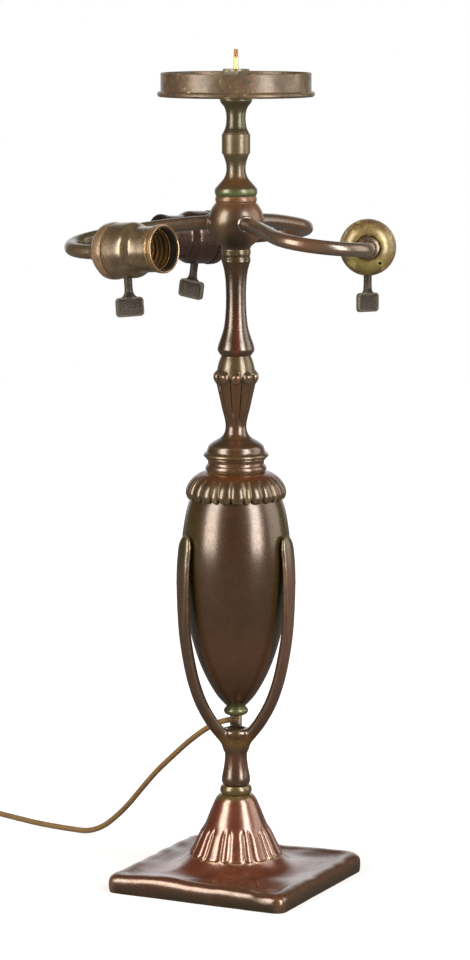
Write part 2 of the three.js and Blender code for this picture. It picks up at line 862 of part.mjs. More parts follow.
add("finial_stud", turned(studOutline, tinySides), brightBrass).position.z = ringNutTop;
const pipeBottom = bushingBase + bushingHeight + fitGap;
const pipeOutline = [
  [pipeRadius, pipeBottom],
  [pipeRadius, pipeTop],
  [pipeRadius - pipeWall, pipeTop],
  [pipeRadius - pipeWall, pipeBottom],
];
add("centre_pipe", turned(pipeOutline, pipeSides), steel);

// Arms. Each leaves the ball at the level of its centre.
const armLevel = ballBase + ballCentre;
const armSteps = 15;
const armSides = 9;

function armShape(arm) {
  const turn = degrees(arm.bend);
  const tilt = degrees(arm.tilt);
  const bendEnd = arm.straight + armBendRadius * turn;
  const point = (run) => {
    const drop = arm.drop * THREE.MathUtils.smoothstep(run, arm.dropFrom, bendEnd);
    const angle = THREE.MathUtils.clamp((run - arm.straight) / armBendRadius, 0, turn);
    const x = Math.min(run, arm.straight) + armBendRadius * Math.sin(angle);
    return new THREE.Vector3(x, armBendRadius * (1 - Math.cos(angle)), -drop);
  };
  const level = Math.cos(tilt);
  const axis = new THREE.Vector3(Math.cos(turn) * level, Math.sin(turn) * level, Math.sin(tilt));
  const hub = point(bendEnd).addScaledVector(axis, hubFromBend);
  const end = hub.clone().addScaledVector(axis, armGrip);
  const bendRuns = [10, 23, 36, 49, 62, 75].map((run) => arm.straight + run);
  const runs = [armStart, 30, 50, arm.straight, ...bendRuns];
  const path = new THREE.CatmullRomCurve3([...runs.map(point), hub, end]);
  return { path, axis, seam: hub.clone().addScaledVector(axis, capDepth) };
}
const armGroups = Object.entries(arms).map(([name, arm]) => {
  const group = new THREE.Group();
  group.position.z = armLevel;
  group.rotation.z = degrees(arm.angle);
  lamp.add(group);
  const { path, axis, seam } = armShape(arm);
  const tube = bar(path, armSteps, armRadius, armSides, armRadius - armWall, 6);
  add("arm_" + name, tube, brownBronze, group);
  return { name, arm, group, axis, seam };
});

// Sockets. In a socket's own frame +Z runs out of its mouth, from the seam of cap and shell, and the
// key hangs along -Y.
const capOutline = [
  [armRadius + fitGap, -capDepth],
  [capHub, -capDepth],
  [capHub, -capDepth + 3.6],
  [12.4, -capDepth + 4.8],
  [17, -8],
  [capRadius - 0.2, -4],
  [capRadius, -0.2],
  [shellRadius - 1.2, -0.2],
  [shellRadius - 1.6, -5],
  [12, -9.4],
  [armRadius + fitGap, -10.9],
];
const shellOutline = [
  [shellRadius, 0.2],
  [shellRadius, shellBarrel],
  [shellRadius - 1.1, shellBarrel + 2.4],
  [shellNeck, shellBarrel + 6],
  [shellNeck - 0.1, 33.4],
  [shellLip, 35],
  [shellLip, shellLength],
  [shellLip - shellWall, shellLength],
  [shellNeck - shellWall, shellBarrel + 5.6],
  [shellRadius - shellWall, shellBarrel],
  [shellRadius - shellWall, 0.2],
];
const linerRadius = shellNeck - shellWall - 0.2;
const linerOutline = [
  [linerRadius, shellBarrel + 6],
  [linerRadius, shellLength - 0.6],
  [linerRadius - linerWall, shellLength - 0.6],
  [linerRadius - linerWall, shellBarrel + 6],
];
const screwShellOutline = [
  [screwShellRadius, screwShellStart],
  [screwShellRadius, screwShellEnd],
  [screwShellRadius - screwShellWall, screwShellEnd],
  [screwShellRadius - screwShellWall, screwShellStart],
];
const bodyOutline = [
  [0, bodyStart],
  [shellRadius - shellWall - fitGap - 0.6, bodyStart],
  [shellRadius - shellWall - fitGap, bodyStart + 1],
  [shellRadius - shellWall - fitGap, shellBarrel - 1],
  [screwShellRadius, shellBarrel + 1.2],
  [screwShellRadius, bodyEnd],
  [0, bodyEnd],
];
const contactOutline = [
  [0, bodyEnd + fitGap],
  [contactRadius, bodyEnd + fitGap],
  [contactRadius, bodyEnd + fitGap + contactHeight / 2],
  [0, bodyEnd + fitGap + contactHeight],
];

// A hole for the key's stem, from one radius outwards along -Y.
function keyHole(radius, from, to, sides) {
  return new THREE.CylinderGeometry(radius, radius, to - from, sides)
    .translate(0, -(from + to) / 2, keyFromSeam);
}
const holeRadius = keyStemRadius + keyHoleGap;
const slot = new THREE.BoxGeometry(2 * holeRadius, 8, keyFromSeam + 1)
  .translate(0, -shellRadius, (keyFromSeam - 1) / 2);
const keyPaddleTop = shellRadius + keyStemDrop;

function keyGeometry() {
  const stemInner = rotorInner + rotorLength + fitGap;
  const stem = new THREE.CylinderGeometry(
    keyStemRadius,
    keyStemRadius,
    keyPaddleTop - stemInner + 1,
    tinySides,
  ).translate(0, -(keyPaddleTop + 1 + stemInner) / 2, 0);
  const shoulder = new THREE.CylinderGeometry(
    keyStemRadius,
    keyStemRadius + keyShoulder,
    keyShoulderHeight,
    tinySides,
  )
    .scale(keyShoulderFlat, 1, 1)
    .translate(0, 1 - keyPaddleTop, 0);
  const paddle = new THREE.ExtrudeGeometry(rectangle(keyWidth, keyHeight, keyCorner), {
    depth: keyThickness,
    bevelEnabled: false,
    curveSegments: 2,
  });
  paddle.translate(0, -keyPaddleTop - keyHeight / 2, -keyThickness / 2).rotateY(Math.PI / 2);
  return join(stem, shoulder, paddle);
}

const up = new THREE.Vector3(0, 0, 1);
armGroups.forEach(({ name, arm, group, axis, seam }) => {
  const socketUp = up.clone().addScaledVector(axis, -up.dot(axis)).normalize();
  const socketSide = new THREE.Vector3().crossVectors(socketUp, axis);
  const socket = new THREE.Group();
  socket.quaternion.setFromRotationMatrix(new THREE.Matrix4().makeBasis(socketSide, socketUp, axis));
  socket.rotateZ(degrees(arm.roll));
  socket.position.copy(seam);
  group.add(socket);
  add(name + "_cap", turned(capOutline, smallSides), agedBrass, socket);
  const shell = turned(shellOutline, smallSides);
  const shellCut = cut(shell, keyHole(holeRadius, shellRadius - 4, shellRadius + 4, 12), slot);
  add(name + "_shell", shellCut, darkBrass, socket);
  add(name + "_liner", turned(linerOutline, smallSides), fibre, socket);
  add(name + "_screw_shell", turned(screwShellOutline, smallSides), brightBrass, socket);
  const body = cut(turned(bodyOutline, smallSides), keyHole(holeRadius, rotorInner - fitGap, 20, 10));
  add(name + "_socket_body", body, porcelain, socket);
  add(name + "_contact", turned(contactOutline, tinySides), brightBrass, socket);
  const key = new THREE.Group();
  key.position.z = keyFromSeam;
  key.rotation.y = degrees(arm.keyTurn);
  socket.add(key);
  add(name + "_key", keyGeometry(), keyIron, key);
  const rotor = new THREE.CylinderGeometry(rotorRadius, rotorRadius, rotorLength, 8)
    .translate(0, -rotorInner - rotorLength / 2, 0);
  add(name + "_rotor", rotor, fibre, key);
});

// Cord. It leaves the bush, passes between two fingers, falls to the table and runs off to the coil.
const cordExit = bushingBase - fitGap;
const cordPoints = [
  [0, 0, cordExit],
  [0, 0, cordExit - 2.6],
  [-6, 7, 111],
  [-13, 16, 107],
  [-19.9, 24.4, 101.6],
  [-31.5, 38.6, 90.1],
  [-44.3, 54.3, 75.2],
  [-56.2, 68.8, 60.5],
  [-66.4, 81.3, 46],
  [-76, 93, 32],
  [-86, 105.4, 19.4],
  [-96, 117.6, 9.4],
  [-107, 129.6, 3.4],
  [-120, 140.6, 2],
  [-133, 149, 2],
  [-147, 160, 2],
  [-160, 172.6, 2],
  [-172, 184.6, 2],
];
const cordRest = cordRadius + tableGap;
const coilRest = cordRest + tieThickness + tieClear;
const coilStart = new THREE.Vector3(
  coilCentre[0] + coilInner + coilPitch * coilTurns,
  coilCentre[1],
  coilRest,
);
const cordRoute = [
  ...cordPoints.map(([x, y, z]) => new THREE.Vector3(x, y, Math.max(z, cordRest))),
  new THREE.Vector3(-184, 197, cordRest),
  new THREE.Vector3(coilStart.x + 7, coilStart.y - 26, cordRest),
  new THREE.Vector3(coilStart.x, coilStart.y - 14, coilRest),
  new THREE.Vector3(coilStart.x, coilStart.y - 4 * cordRadius, coilRest),
  new THREE.Vector3(coilStart.x, coilStart.y - 2 * cordRadius - fitGap, coilRest),
];
const cordPath = new THREE.CatmullRomCurve3(cordRoute, false, "centripetal");
add("cord", bar(cordPath, cordSteps, cordRadius, cordSides), cloth);

// Coil: one tube that spirals in and out by turns, and climbs a layer in each half turn where it reverses.
const layerRise = 2 * cordRadius + 0.6;
function coilPoint(turn) {
  const layer = Math.min(Math.floor(turn / coilTurns), coilLayers - 1);
  const within = turn / coilTurns - layer;
  const inward = layer % 2 === 0;
  const reach = coilPitch * coilTurns;
  const radius = coilInner + (inward ? 1 - within : within) * reach;
  const angle = 2 * Math.PI * turn;
  const climbs = Array.from({ length: coilLayers - 1 }, (_, i) => {
    const reversal = (i + 1) * coilTurns;
    return THREE.MathUtils.smoothstep(turn, reversal - 0.25, reversal + 0.25);
  });
  const risen = climbs.reduce((sum, climb) => sum + climb, 0);
  return new THREE.Vector3(
    coilCentre[0] + radius * Math.cos(angle),
    coilCentre[1] + radius * Math.sin(angle),
    coilRest + risen * layerRise,
  );
}
const coilLoops = coilTurns * coilLayers;
const coilCount = Math.round(coilLoops * coilSteps);
const coilPoints = Array.from({ length: coilCount + 1 }, (_, i) => coilPoint((i / coilCount) * coilLoops));
const coilLast = coilPoints[coilCount];
const coilAlong = new THREE.Vector3(0, 1, 0);
const coilFirst = coilPoints[0];
const coilLead = new THREE.Vector3(0, -1, 0);
const coilWhole = [
  coilFirst.clone().addScaledVector(coilLead, 2 * cordRadius),
  ...coilPoints,
  coilLast.clone().addScaledVector(coilAlong, 2 * cordRadius),
];

// A tube through a list of points, its rings standing square to the way it runs.
function ringTube(points, radius, sides) {
  const rings = points.map((point, i) => {
    const before = points[Math.max(i - 1, 0)];
    const after = points[Math.min(i + 1, points.length - 1)];
    const along = after.clone().sub(before).normalize();
    const side = new THREE.Vector3().crossVectors(along, up).normalize();
    const over = new THREE.Vector3().crossVectors(side, along);
    return Array.from({ length: sides }, (_, k) => {
      const angle = (2 * Math.PI * k) / sides;
      return point
        .clone()
        .addScaledVector(side, radius * Math.cos(angle))
        .addScaledVector(over, radius * Math.sin(angle));
    });
  });
  const corners = rings.flat().flatMap((v) => [v.x, v.y, v.z]);
  const ends = [points[0], points[points.length - 1]];
  corners.push(...ends.flatMap((v) => [v.x, v.y, v.z]));
  const faces = [];
  const startCentre = rings.length * sides;
  for (let k = 0; k < sides; k++) {
    const next = (k + 1) % sides;
    for (let i = 0; i + 1 < rings.length; i++) {
      const a = i * sides + k;
      const b = i * sides + next;
      faces.push(a, a + sides, b, b, a + sides, b + sides);
    }
    const lastRing = (rings.length - 1) * sides;
    faces.push(startCentre, k, next);
    faces.push(startCentre + 1, lastRing + next, lastRing + k);
  }
  const geometry = new THREE.BufferGeometry();
  geometry.setAttribute("position", new THREE.Float32BufferAttribute(corners, 3));
  geometry.setIndex(faces);
  geometry.computeVertexNormals();
  return geometry;
}
add("cord_coil", ringTube(coilWhole, cordRadius, coilSides), cloth);

// The least gap of the coil to itself, on its centre line, for points at least half a turn apart.
let coilGap = Infinity;
coilPoints.forEach((a, i) =>
  coilPoints.slice(i + coilSteps / 2).forEach((b) => {
    coilGap = Math.min(coilGap, a.distanceTo(b) - 2 * cordRadius);
  }),
);
console.log("least gap of the coil to itself " + coilGap.toFixed(2) + " mm");

// Tie: a flat band round the coil's section, on the side away from the lamp.
const coilTop = coilRest + (coilLayers - 1) * layerRise + cordRadius;
const tieInner = coilInner - cordRadius - tieClear - tieWidth / 8;
const tieOuter = coilInner + coilPitch * coilTurns + cordRadius + tieClear;
const tieHeight = coilTop + tieClear;
const tieOutline = new THREE.Shape();
tieOutline.moveTo(tieInner - tieThickness, tableGap);
tieOutline.lineTo(tieOuter + tieThickness, tableGap);
tieOutline.lineTo(tieOuter + tieThickness, tieHeight + tieThickness);
tieOutline.lineTo(tieInner - tieThickness, tieHeight + tieThickness);
const tieHole = new THREE.Path();
tieHole.moveTo(tieInner, tableGap + tieThickness);
tieHole.lineTo(tieInner, tieHeight);
tieHole.lineTo(tieOuter, tieHeight);
tieHole.lineTo(tieOuter, tableGap + tieThickness);
tieOutline.holes.push(tieHole);
const tie = new THREE.ExtrudeGeometry(tieOutline, { depth: tieWidth, bevelEnabled: false });
tie.rotateX(Math.PI / 2).translate(0, tieWidth / 2, 0).rotateZ(degrees(145));
add("cord_tie", tie.translate(coilCentre[0], coilCentre[1], 0), cloth);

// Tail: from the coil's last turn, on top, down to the plug, which lies on its side on the table.
const tailRun = 38;
const tailSteps = 6;
const plugRest = plugRadius + tableGap;
const tailStart = coilLast.clone().addScaledVector(coilAlong, 2 * cordRadius + fitGap);
const tailAlong = new THREE.Vector3(coilAlong.x, coilAlong.y, 0).normalize();
const tailEnd = tailStart.clone().addScaledVector(tailAlong, tailRun).setZ(plugRest);
const tailPath = new THREE.CatmullRomCurve3([
  tailStart,
  tailStart.clone().addScaledVector(tailAlong, 2 * cordRadius),
  tailEnd.clone().addScaledVector(tailAlong, -2 * cordRadius),
  tailEnd,
]);
add("cord_tail", bar(tailPath, tailSteps, cordRadius, cordSides), cloth);

// Plug, with its two blades.
const plugGroup = new THREE.Group();
plugGroup.position.copy(tailEnd).addScaledVector(tailAlong, fitGap);
plugGroup.quaternion.setFromUnitVectors(up, tailAlong);
lamp.add(plugGroup);
const plugOutline = [
  [0, 0],
  [cordRadius + 1.6, 0],
  [cordRadius + 2.6, 6],
  [plugRadius - 2, 10],
  [plugRadius, 14],
  [plugRadius, plugLength - 1],
  [plugRadius - 1, plugLength],
  [0, plugLength],
];
add("plug_body", turned(plugOutline, smallSides), bakelite, plugGroup);
[1, 2].forEach((number) => {
  const blade = new THREE.BoxGeometry(bladeThickness, bladeWidth, bladeLength);
  const side = number === 1 ? -1 : 1;
  blade.translate((side * bladeSpacing) / 2, 0, plugLength + fitGap + bladeLength / 2);
  add("plug_blade_" + number, blade, brightBrass, plugGroup);
});

export default lamp;
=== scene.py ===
from math import atan2, cos, degrees, exp, hypot, pi, radians, sin, sqrt, tan, tau

import bmesh
import bpy
from mathutils import Matrix, Vector, noise


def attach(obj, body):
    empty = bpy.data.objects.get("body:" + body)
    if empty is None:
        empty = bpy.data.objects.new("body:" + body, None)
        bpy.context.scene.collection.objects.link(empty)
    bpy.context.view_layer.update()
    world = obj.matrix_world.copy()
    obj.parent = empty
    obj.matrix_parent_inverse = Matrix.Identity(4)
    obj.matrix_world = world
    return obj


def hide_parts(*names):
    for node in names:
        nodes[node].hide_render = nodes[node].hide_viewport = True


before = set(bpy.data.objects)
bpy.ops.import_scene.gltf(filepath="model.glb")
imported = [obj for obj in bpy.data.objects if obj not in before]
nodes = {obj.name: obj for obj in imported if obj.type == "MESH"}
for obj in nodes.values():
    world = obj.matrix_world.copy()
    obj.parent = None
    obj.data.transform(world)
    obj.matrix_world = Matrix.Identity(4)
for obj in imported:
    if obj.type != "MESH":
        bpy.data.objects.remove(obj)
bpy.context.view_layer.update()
scene = bpy.context.scene
scene.view_settings.view_transform = "Standard"

# Camera. It stands well back at the height of the shade ring and looks slightly down, so the ring is seen
# from a little above and the foot shows its top.
lens = bpy.data.cameras.new("camera")
lens.lens = 130.5
camera = bpy.data.objects.new("camera", lens)
camera.location = (-0.00067, -2.321, 0.6103)
camera.rotation_euler = (radians(90 - 8.16), 0, 0)
scene.collection.objects.link(camera)
scene.camera = camera

# Cord. Two wires in a round sleeve of braided cotton, brown and gold. It leaves the bushing under the urn,
# falls between the fingers to the table and runs to a coil that is tied with a strip of the same cloth.
cord_radius = 2.0
coil_centre = (-232, 232)
coil_turns = 10
coil_inner = 16.6
coil_width = 11.5
turns_in_layer = 2.5
layer_rise = 4.6
table_rest = 3.9
cord_free = [
    (0, 0, 116.2), (0, 0, 113.6), (-6, 7, 111), (-13, 16, 107), (-19.9, 24.4, 101.6), (-31.5, 38.6, 90.1),
    (-44.3, 54.3, 75.2), (-56.2, 68.8, 60.5), (-66.4, 81.3, 46), (-76, 93, 32), (-86, 105.4, 19.4),
    (-96, 117.6, 9.4), (-107, 129.6, 3.4), (-120, 140.6, 2), (-133, 149, 2), (-147, 160, 2),
    (-160, 172.6, 2), (-172, 184.6, 2), (-184, 197, 2.1), (-196.9, 206, 2.1), (-203.9, 218, 3.9),
    (-203.9, 224, 3.9), (-203.9, 227.7, 3.9),
]
cloth_gold = (0.36, 0.22, 0.07)
cloth_brown = (0.17, 0.088, 0.028)
painted_gap_shade = (0.045, 0.022, 0.008)


def ease(value, low, high):
    """0 below low, 1 above high, and smooth between them."""
    share = min(max((value - low) / (high - low), 0), 1)
    return share * share * (3 - 2 * share)


def through(points, steps):
    """Points of a smooth curve through the given ones, with this many steps to each span."""
    dots = [Vector(p) for p in points]
    dots = [2 * dots[0] - dots[1]] + dots + [2 * dots[-1] - dots[-2]]
    line = []
    for a, b, c, d in zip(dots, dots[1:], dots[2:], dots[3:]):
        ab, bc, cd = (sqrt((q - p).length) for p, q in ((a, b), (b, c), (c, d)))
        leave = ((b - a) / ab - (c - a) / (ab + bc) + (c - b) / bc) * bc
        reach = ((c - b) / bc - (d - b) / (bc + cd) + (d - c) / cd) * bc
        for step in range(steps):
            t = step / steps
            start, end = 2 * t**3 - 3 * t**2 + 1, 3 * t**2 - 2 * t**3
            line.append(b * start + leave * (t**3 - 2 * t**2 + t) + c * end + reach * (t**3 - t**2))
    line.append(dots[-2])
    return line


def bar(path, across, sides, size):
    """A closed bar along a path. size(share, angle) gives its half width and half depth there."""
    across = Vector(across)
    marks = []
    for i, point in enumerate(path):
        along = (path[min(i + 1, len(path) - 1)] - path[max(i - 1, 0)]).normalized()
        across = (across - along * across.dot(along)).normalized()
        marks.append((point, across, along.cross(across)))
    rows = len(marks) - 1
    shape = bmesh.new()
    shape.loops.layers.uv.new("UVMap")
    bmesh.ops.create_grid(shape, x_segments=rows, y_segments=sides, size=0.5, calc_uvs=True)
    for dot in shape.verts:
        row = round((dot.co.x + 0.5) * rows)
        angle = (dot.co.y + 0.5) * tau
        point, one, two = marks[row]
        wide, deep = size(row / rows, angle)
        dot.co = point + one * (wide * cos(angle)) + two * (deep * sin(angle))
    bmesh.ops.remove_doubles(shape, verts=shape.verts, dist=0.0005)
    bmesh.ops.holes_fill(shape, edges=[e for e in shape.edges if e.is_boundary], sides=0)
    return shape


def heading(angle):
    """The level direction at an angle from +X."""
    return Vector((cos(angle), sin(angle), 0))


def place(name, shape, material, sharp=35, stance=Matrix()):
    """The shape, drawn in millimetres, takes its stance and becomes a smooth piece of the scene in metres."""
    bmesh.ops.transform(shape, matrix=stance, verts=shape.verts)
    bmesh.ops.remove_doubles(shape, verts=shape.verts, dist=0.001)
    bmesh.ops.recalc_face_normals(shape, faces=shape.faces)
    bmesh.ops.scale(shape, vec=(0.001, 0.001, 0.001), verts=shape.verts)
    for face in shape.faces:
        face.smooth = True
    mesh = bpy.data.meshes.new(name)
    shape.to_mesh(mesh)
    shape.free()
    mesh.set_sharp_from_angle(angle=radians(sharp))
    mesh.materials.append(material)
    piece = bpy.data.objects.new(name, mesh)
    scene.collection.objects.link(piece)
    return piece


def fit(name, shape, material, slot, *solids, body="root", **form):
    """Places a piece that rides a body and stands for its solids. Its slot argument is not used."""
    piece = place(name, shape, material, **form)
    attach(piece, body)
    if solids:
        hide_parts(*solids)
    return piece


class Wire:
    """One output of a material's nodes. Python's operators on it add Math nodes."""

    def __init__(self, tree, socket=None):
        self.tree = tree
        self.socket = socket

    def node(self, kind, settings, values, output=0):
        """Adds any node: its type, its settings, then the numbers or wires of its sockets."""
        made = self.tree.nodes.new("ShaderNode" + kind)
        for name, setting in settings.items():
            setattr(made, name, setting)
        for key, value in values.items():
            socket = made.inputs[key]
            if isinstance(value, Wire):
                self.tree.links.new(value.socket, socket)
            elif socket.type == "RGBA":
                socket.default_value = (*value, 1)
            else:
                socket.default_value = value
        return Wire(self.tree, made.outputs[output]) if made.outputs else None

    def maths(self, operation, *values):
        """Adds a Math node over these values."""
        return self.node("Math", {"operation": operation}, dict(enumerate(values)))

    def __add__(self, other):
        return self.maths("ADD", self, other)

    def __radd__(self, other):
        return self.maths("ADD", other, self)

    def __sub__(self, other):
        return self.maths("SUBTRACT", self, other)

    def __rsub__(self, other):
        return self.maths("SUBTRACT", other, self)

    def __mul__(self, other):
        return self.maths("MULTIPLY", self, other)

    def __rmul__(self, other):
        return self.maths("MULTIPLY", other, self)


def new_material(name):
    """A material with no nodes yet, a wire to build them with, and the object's own coordinates."""
    made = bpy.data.materials.new(name)
    made.use_nodes = True
    made.node_tree.nodes.clear()
    wire = Wire(made.node_tree)
    return made, wire, wire.node("TexCoord", {}, {}, "Object")


def clouds(point, scale, detail=4, roughness=0.55, distortion=0.0):
    """Soft noise from 0 to 1, with about this many clouds to the metre."""
    return point.node("TexNoise", {}, {
        "Vector": point, "Scale": scale, "Detail": detail, "Roughness": roughness, "Distortion": distortion,
    })


def between(value, low, high):
    """0 to 1 as the value goes from low to high, with soft ends."""
    return value.node("MapRange", {"interpolation_type": "SMOOTHSTEP"}, {
        "Value": value, "From Min": low, "From Max": high,
    })


def mixed(share, first, second):
    """The first colour where share is 0 and the second where it is 1."""
    return share.node("Mix", {"data_type": "RGBA"}, {0: share, 6: first, 7: second}, 2)


def surfaced(wire, colour, roughness, metallic=0.0, coat=0.0, height=None, depth=0.0002, fixed=None):
    """Ends a material: the shader with its colours, its constant sockets and the height as bumps."""
    values = {"Base Color": colour, "Roughness": roughness, "Metallic": metallic, "Coat Weight": coat}
    values.update(fixed or {})
    if height is not None:
        values["Normal"] = wire.node("Bump", {}, {"Strength": 1.0, "Distance": depth, "Height": height})
    wire.node("OutputMaterial", {}, {"Surface": wire.node("BsdfPrincipled", {}, values)})


def coil_point(turn):
    """Where the cord's middle is after so many turns of the coil."""
    layer = min(int(turn / turns_in_layer), 3)
    within = turn / turns_in_layer - layer
    radius = coil_inner + coil_width * (within if layer % 2 else 1 - within)
    climbs = [turns_in_layer * (i + 1) for i in range(3)]
    rise = sum(ease(turn, climb - 0.25, climb + 0.25) for climb in climbs)
    angle = tau * turn
    return Vector((*coil_centre, table_rest + layer_rise * rise)) + heading(angle) * radius


def braided(name, strands, pitch):
    """Cotton yarn braided over the cord: UV in units of the cord's girth, gold with brown tracers, painted shade
    in the gaps.
    """
    made, wire, point = new_material(name)
    spot = wire.node("TexCoord", {}, {}, "UV")
    along = wire.node("SeparateXYZ", {}, {0: spot}, 0)
    around = wire.node("SeparateXYZ", {}, {0: spot}, 1)
    rising = (around * strands + along * pitch) * pi
    falling = (around * strands - along * pitch) * pi
    one = rising.maths("ABSOLUTE", rising.maths("SINE", rising))
    two = falling.maths("ABSOLUTE", falling.maths("SINE", falling))
    yarn = one.maths("MAXIMUM", one, two)
    fuzz = clouds(point, 2600, 3, 0.7)
    wear = clouds(point, 90, 4, 0.6)
    tracer = between(one - two, -0.1, 0.35)
    colour = mixed(tracer, cloth_gold, cloth_brown)
    colour = mixed(between(wear, 0.45, 0.7) * 0.6, colour, cloth_brown)
    # Painted shade: the gaps between the strands are darkened.
    colour = mixed(1 - between(yarn, 0.5, 0.85), colour, painted_gap_shade)
    colour = mixed(between(fuzz, 0.6, 0.8) * 0.4, colour, cloth_gold)
    surfaced(wire, colour, 0.55, height=yarn * 0.8 + fuzz * 0.4, depth=0.0004,
             fixed={"Sheen Weight": 0.1, "Sheen Roughness": 0.5})
    return made


cloth = braided("braided_cotton", 6, 6)
coil_run = [coil_point(i / 48) for i in range(48 * coil_turns + 1)]
tail_way = Vector((0, 1, 0))
tail_start = coil_run[-1] + tail_way * 4.3
tail_end = tail_start + tail_way * 38
tail_end.z = 12.6
tail = through([tail_start, tail_start + tail_way * 4, tail_end - tail_way * 4, tail_end], 8)
route = through(cord_free, 10) + coil_run + tail
measured = [0.0]
for before, after in zip(route, route[1:]):
    measured.append(measured[-1] + (after - before).length)


def resampled(line, spacing):
    """The same line with its points this far apart."""
    even = [line[0]]
    left = spacing
    for a, b in zip(line, line[1:]):
        span = (b - a).length
        done = 0.0
        while span - done >= left:
            done += left
            even.append(a.lerp(b, done / span))
            left = spacing
        left -= span - done
    even.append(line[-1])
    return even


cord_line = resampled(route, 1.0)


def yarn_relief(share, angle):
    """The sleeve's radius: strands that cross each other round the cord."""
    turn = share * measured[-1] / (tau * cord_radius) * 6 * pi
    weave = abs(sin(angle * 3 + turn)), abs(sin(angle * 3 - turn))
    radius = cord_radius * (0.955 + 0.045 * max(weave))
    return radius, radius


cord_shape = bar(cord_line, (1, 0, 0), 20, yarn_relief)
cord_uv = cord_shape.loops.layers.uv.active
for face in cord_shape.faces:
    for loop in face.loops:
        loop[cord_uv].uv.x *= measured[-1] / (tau * cord_radius)
cord = fit("lamp_cord", cord_shape, cloth, "cord_cloth", "cord", "cord_coil", "cord_tail", sharp=80)

tie_angle = radians(145)
tie_width = 9
tie_thickness = 0.7
tie_level = 10.8
tie_reach = 21.8
coil_half_width = 9
coil_half_height = 9.6
tie_across = heading(tie_angle)
tie_along = heading(tie_angle + pi / 2)
tie_middle = Vector((*coil_centre, tie_level)) + tie_across * tie_reach
tie_shape = bmesh.new()
tie_uv = tie_shape.loops.layers.uv.new("UVMap")
bmesh.ops.create_grid(tie_shape, x_segments=96, y_segments=12, size=0.5, calc_uvs=True)
for dot in tie_shape.verts:
    angle = (dot.co.x + 0.5) * tau
    edge = abs(dot.co.y) * 2
    corner = (abs(cos(angle)) ** 6 + abs(sin(angle)) ** 6) ** (-1 / 6)
    swell = 1 - 0.25 * ease(edge, 0.8, 1)
    across = cos(angle) * (coil_half_width * corner + 0.4 * swell)
    up = sin(angle) * (coil_half_height * corner + 0.4 * swell)
    dot.co = tie_middle + tie_across * across + Vector((0, 0, up)) + tie_along * (dot.co.y * tie_width)
for face in tie_shape.faces:
    for loop in face.loops:
        loop[tie_uv].uv.x *= 6
        loop[tie_uv].uv.y *= 0.75
bmesh.ops.remove_doubles(tie_shape, verts=tie_shape.verts, dist=0.001)
bmesh.ops.solidify(tie_shape, geom=tie_shape.faces[:], thickness=tie_thickness)
tie = fit("cord_tie_strip", tie_shape, cloth, "cord_cloth", "cord_tie", sharp=60)

# Plug. Two flat brass blades in a brown moulded body with a ribbed neck for the cord. The body is moulded
# round the blades and the cord's end, and lies on the table beside the coil.
plug_brown = (0.045, 0.022, 0.012)
blade_tone = (0.72, 0.5, 0.2)
blade_tarnish = (0.3, 0.17, 0.06)
blade_size = (1.5, 6.4, 15.9)
blade_offset = 6.35
blade_middle = 34.25
blade_round = 1.6


def rounded(corners, fillet=0.3, closed=True):
    """The outline with its sharp corners eased by small arcs."""
    dots = [Vector(c) for c in corners]
    eased = []
    for i, here in enumerate(dots):
        back = dots[i - 1] - here
        ahead = dots[(i + 1) % len(dots)] - here
        turn = pi - back.angle(ahead)
        if turn < 0.35 or (not closed and i in (0, len(dots) - 1)):
            eased.append(here)
            continue
        reach = min(fillet * tan(turn / 2), 0.45 * back.length, 0.45 * ahead.length)
        start, end = here + back.normalized() * reach, here + ahead.normalized() * reach
        for t in (0, 0.3, 0.7, 1):
            eased.append(start * (1 - t) ** 2 + here * (2 * t * (1 - t)) + end * t**2)
    return eased


def turned(outline, steps=96, closed=True):
    """A piece turned about the upright axis from its outline of radii and heights."""
    shape = bmesh.new()
    dots = [shape.verts.new((r, 0, z)) for r, z in outline]
    ends = dots[1:] + dots[:1] if closed else dots[1:]
    lines = [shape.edges.new(pair) for pair in zip(dots, ends)]
    bmesh.ops.spin(
        shape, geom=dots + lines, cent=(0, 0, 0), axis=(0, 0, 1), angle=tau, steps=steps, use_merge=True
    )
    bmesh.ops.remove_doubles(shape, verts=shape.verts, dist=0.0005)
    return shape


def joined(shapes):
    """One shape of several."""
    whole = shapes[0]
    for other in shapes[1:]:
        mesh = bpy.data.meshes.new("joining")
        other.to_mesh(mesh)
        other.free()
        whole.from_mesh(mesh)
        bpy.data.meshes.remove(mesh)
    return whole


def moulded(name, tone, gloss):
    """Moulded resin: nearly even in colour, with cloudy marbling and a soft polish."""
    made, wire, point = new_material(name)
    marble = clouds(point, 160, 5, 0.6, 1.5)
    grit = clouds(point, 1700, 2)
    colour = mixed(between(marble, 0.45, 0.7), tone, tuple(c * 1.8 for c in tone))
    colour = mixed(between(grit, 0.6, 0.75) * 0.3, colour, tuple(c * 0.5 for c in tone))
    surfaced(wire, colour, gloss + (grit - 0.5) * 0.2, height=grit * 0.5 + marble * 0.3, depth=0.0001)
    return made


def bevelled(shape, edges, offset, segments):
    """Rounds these edges of a shape."""
    bmesh.ops.bevel(
        shape, geom=edges, offset=offset, offset_type="OFFSET", segments=segments, profile=0.5,
        affect="EDGES", material=-1
    )


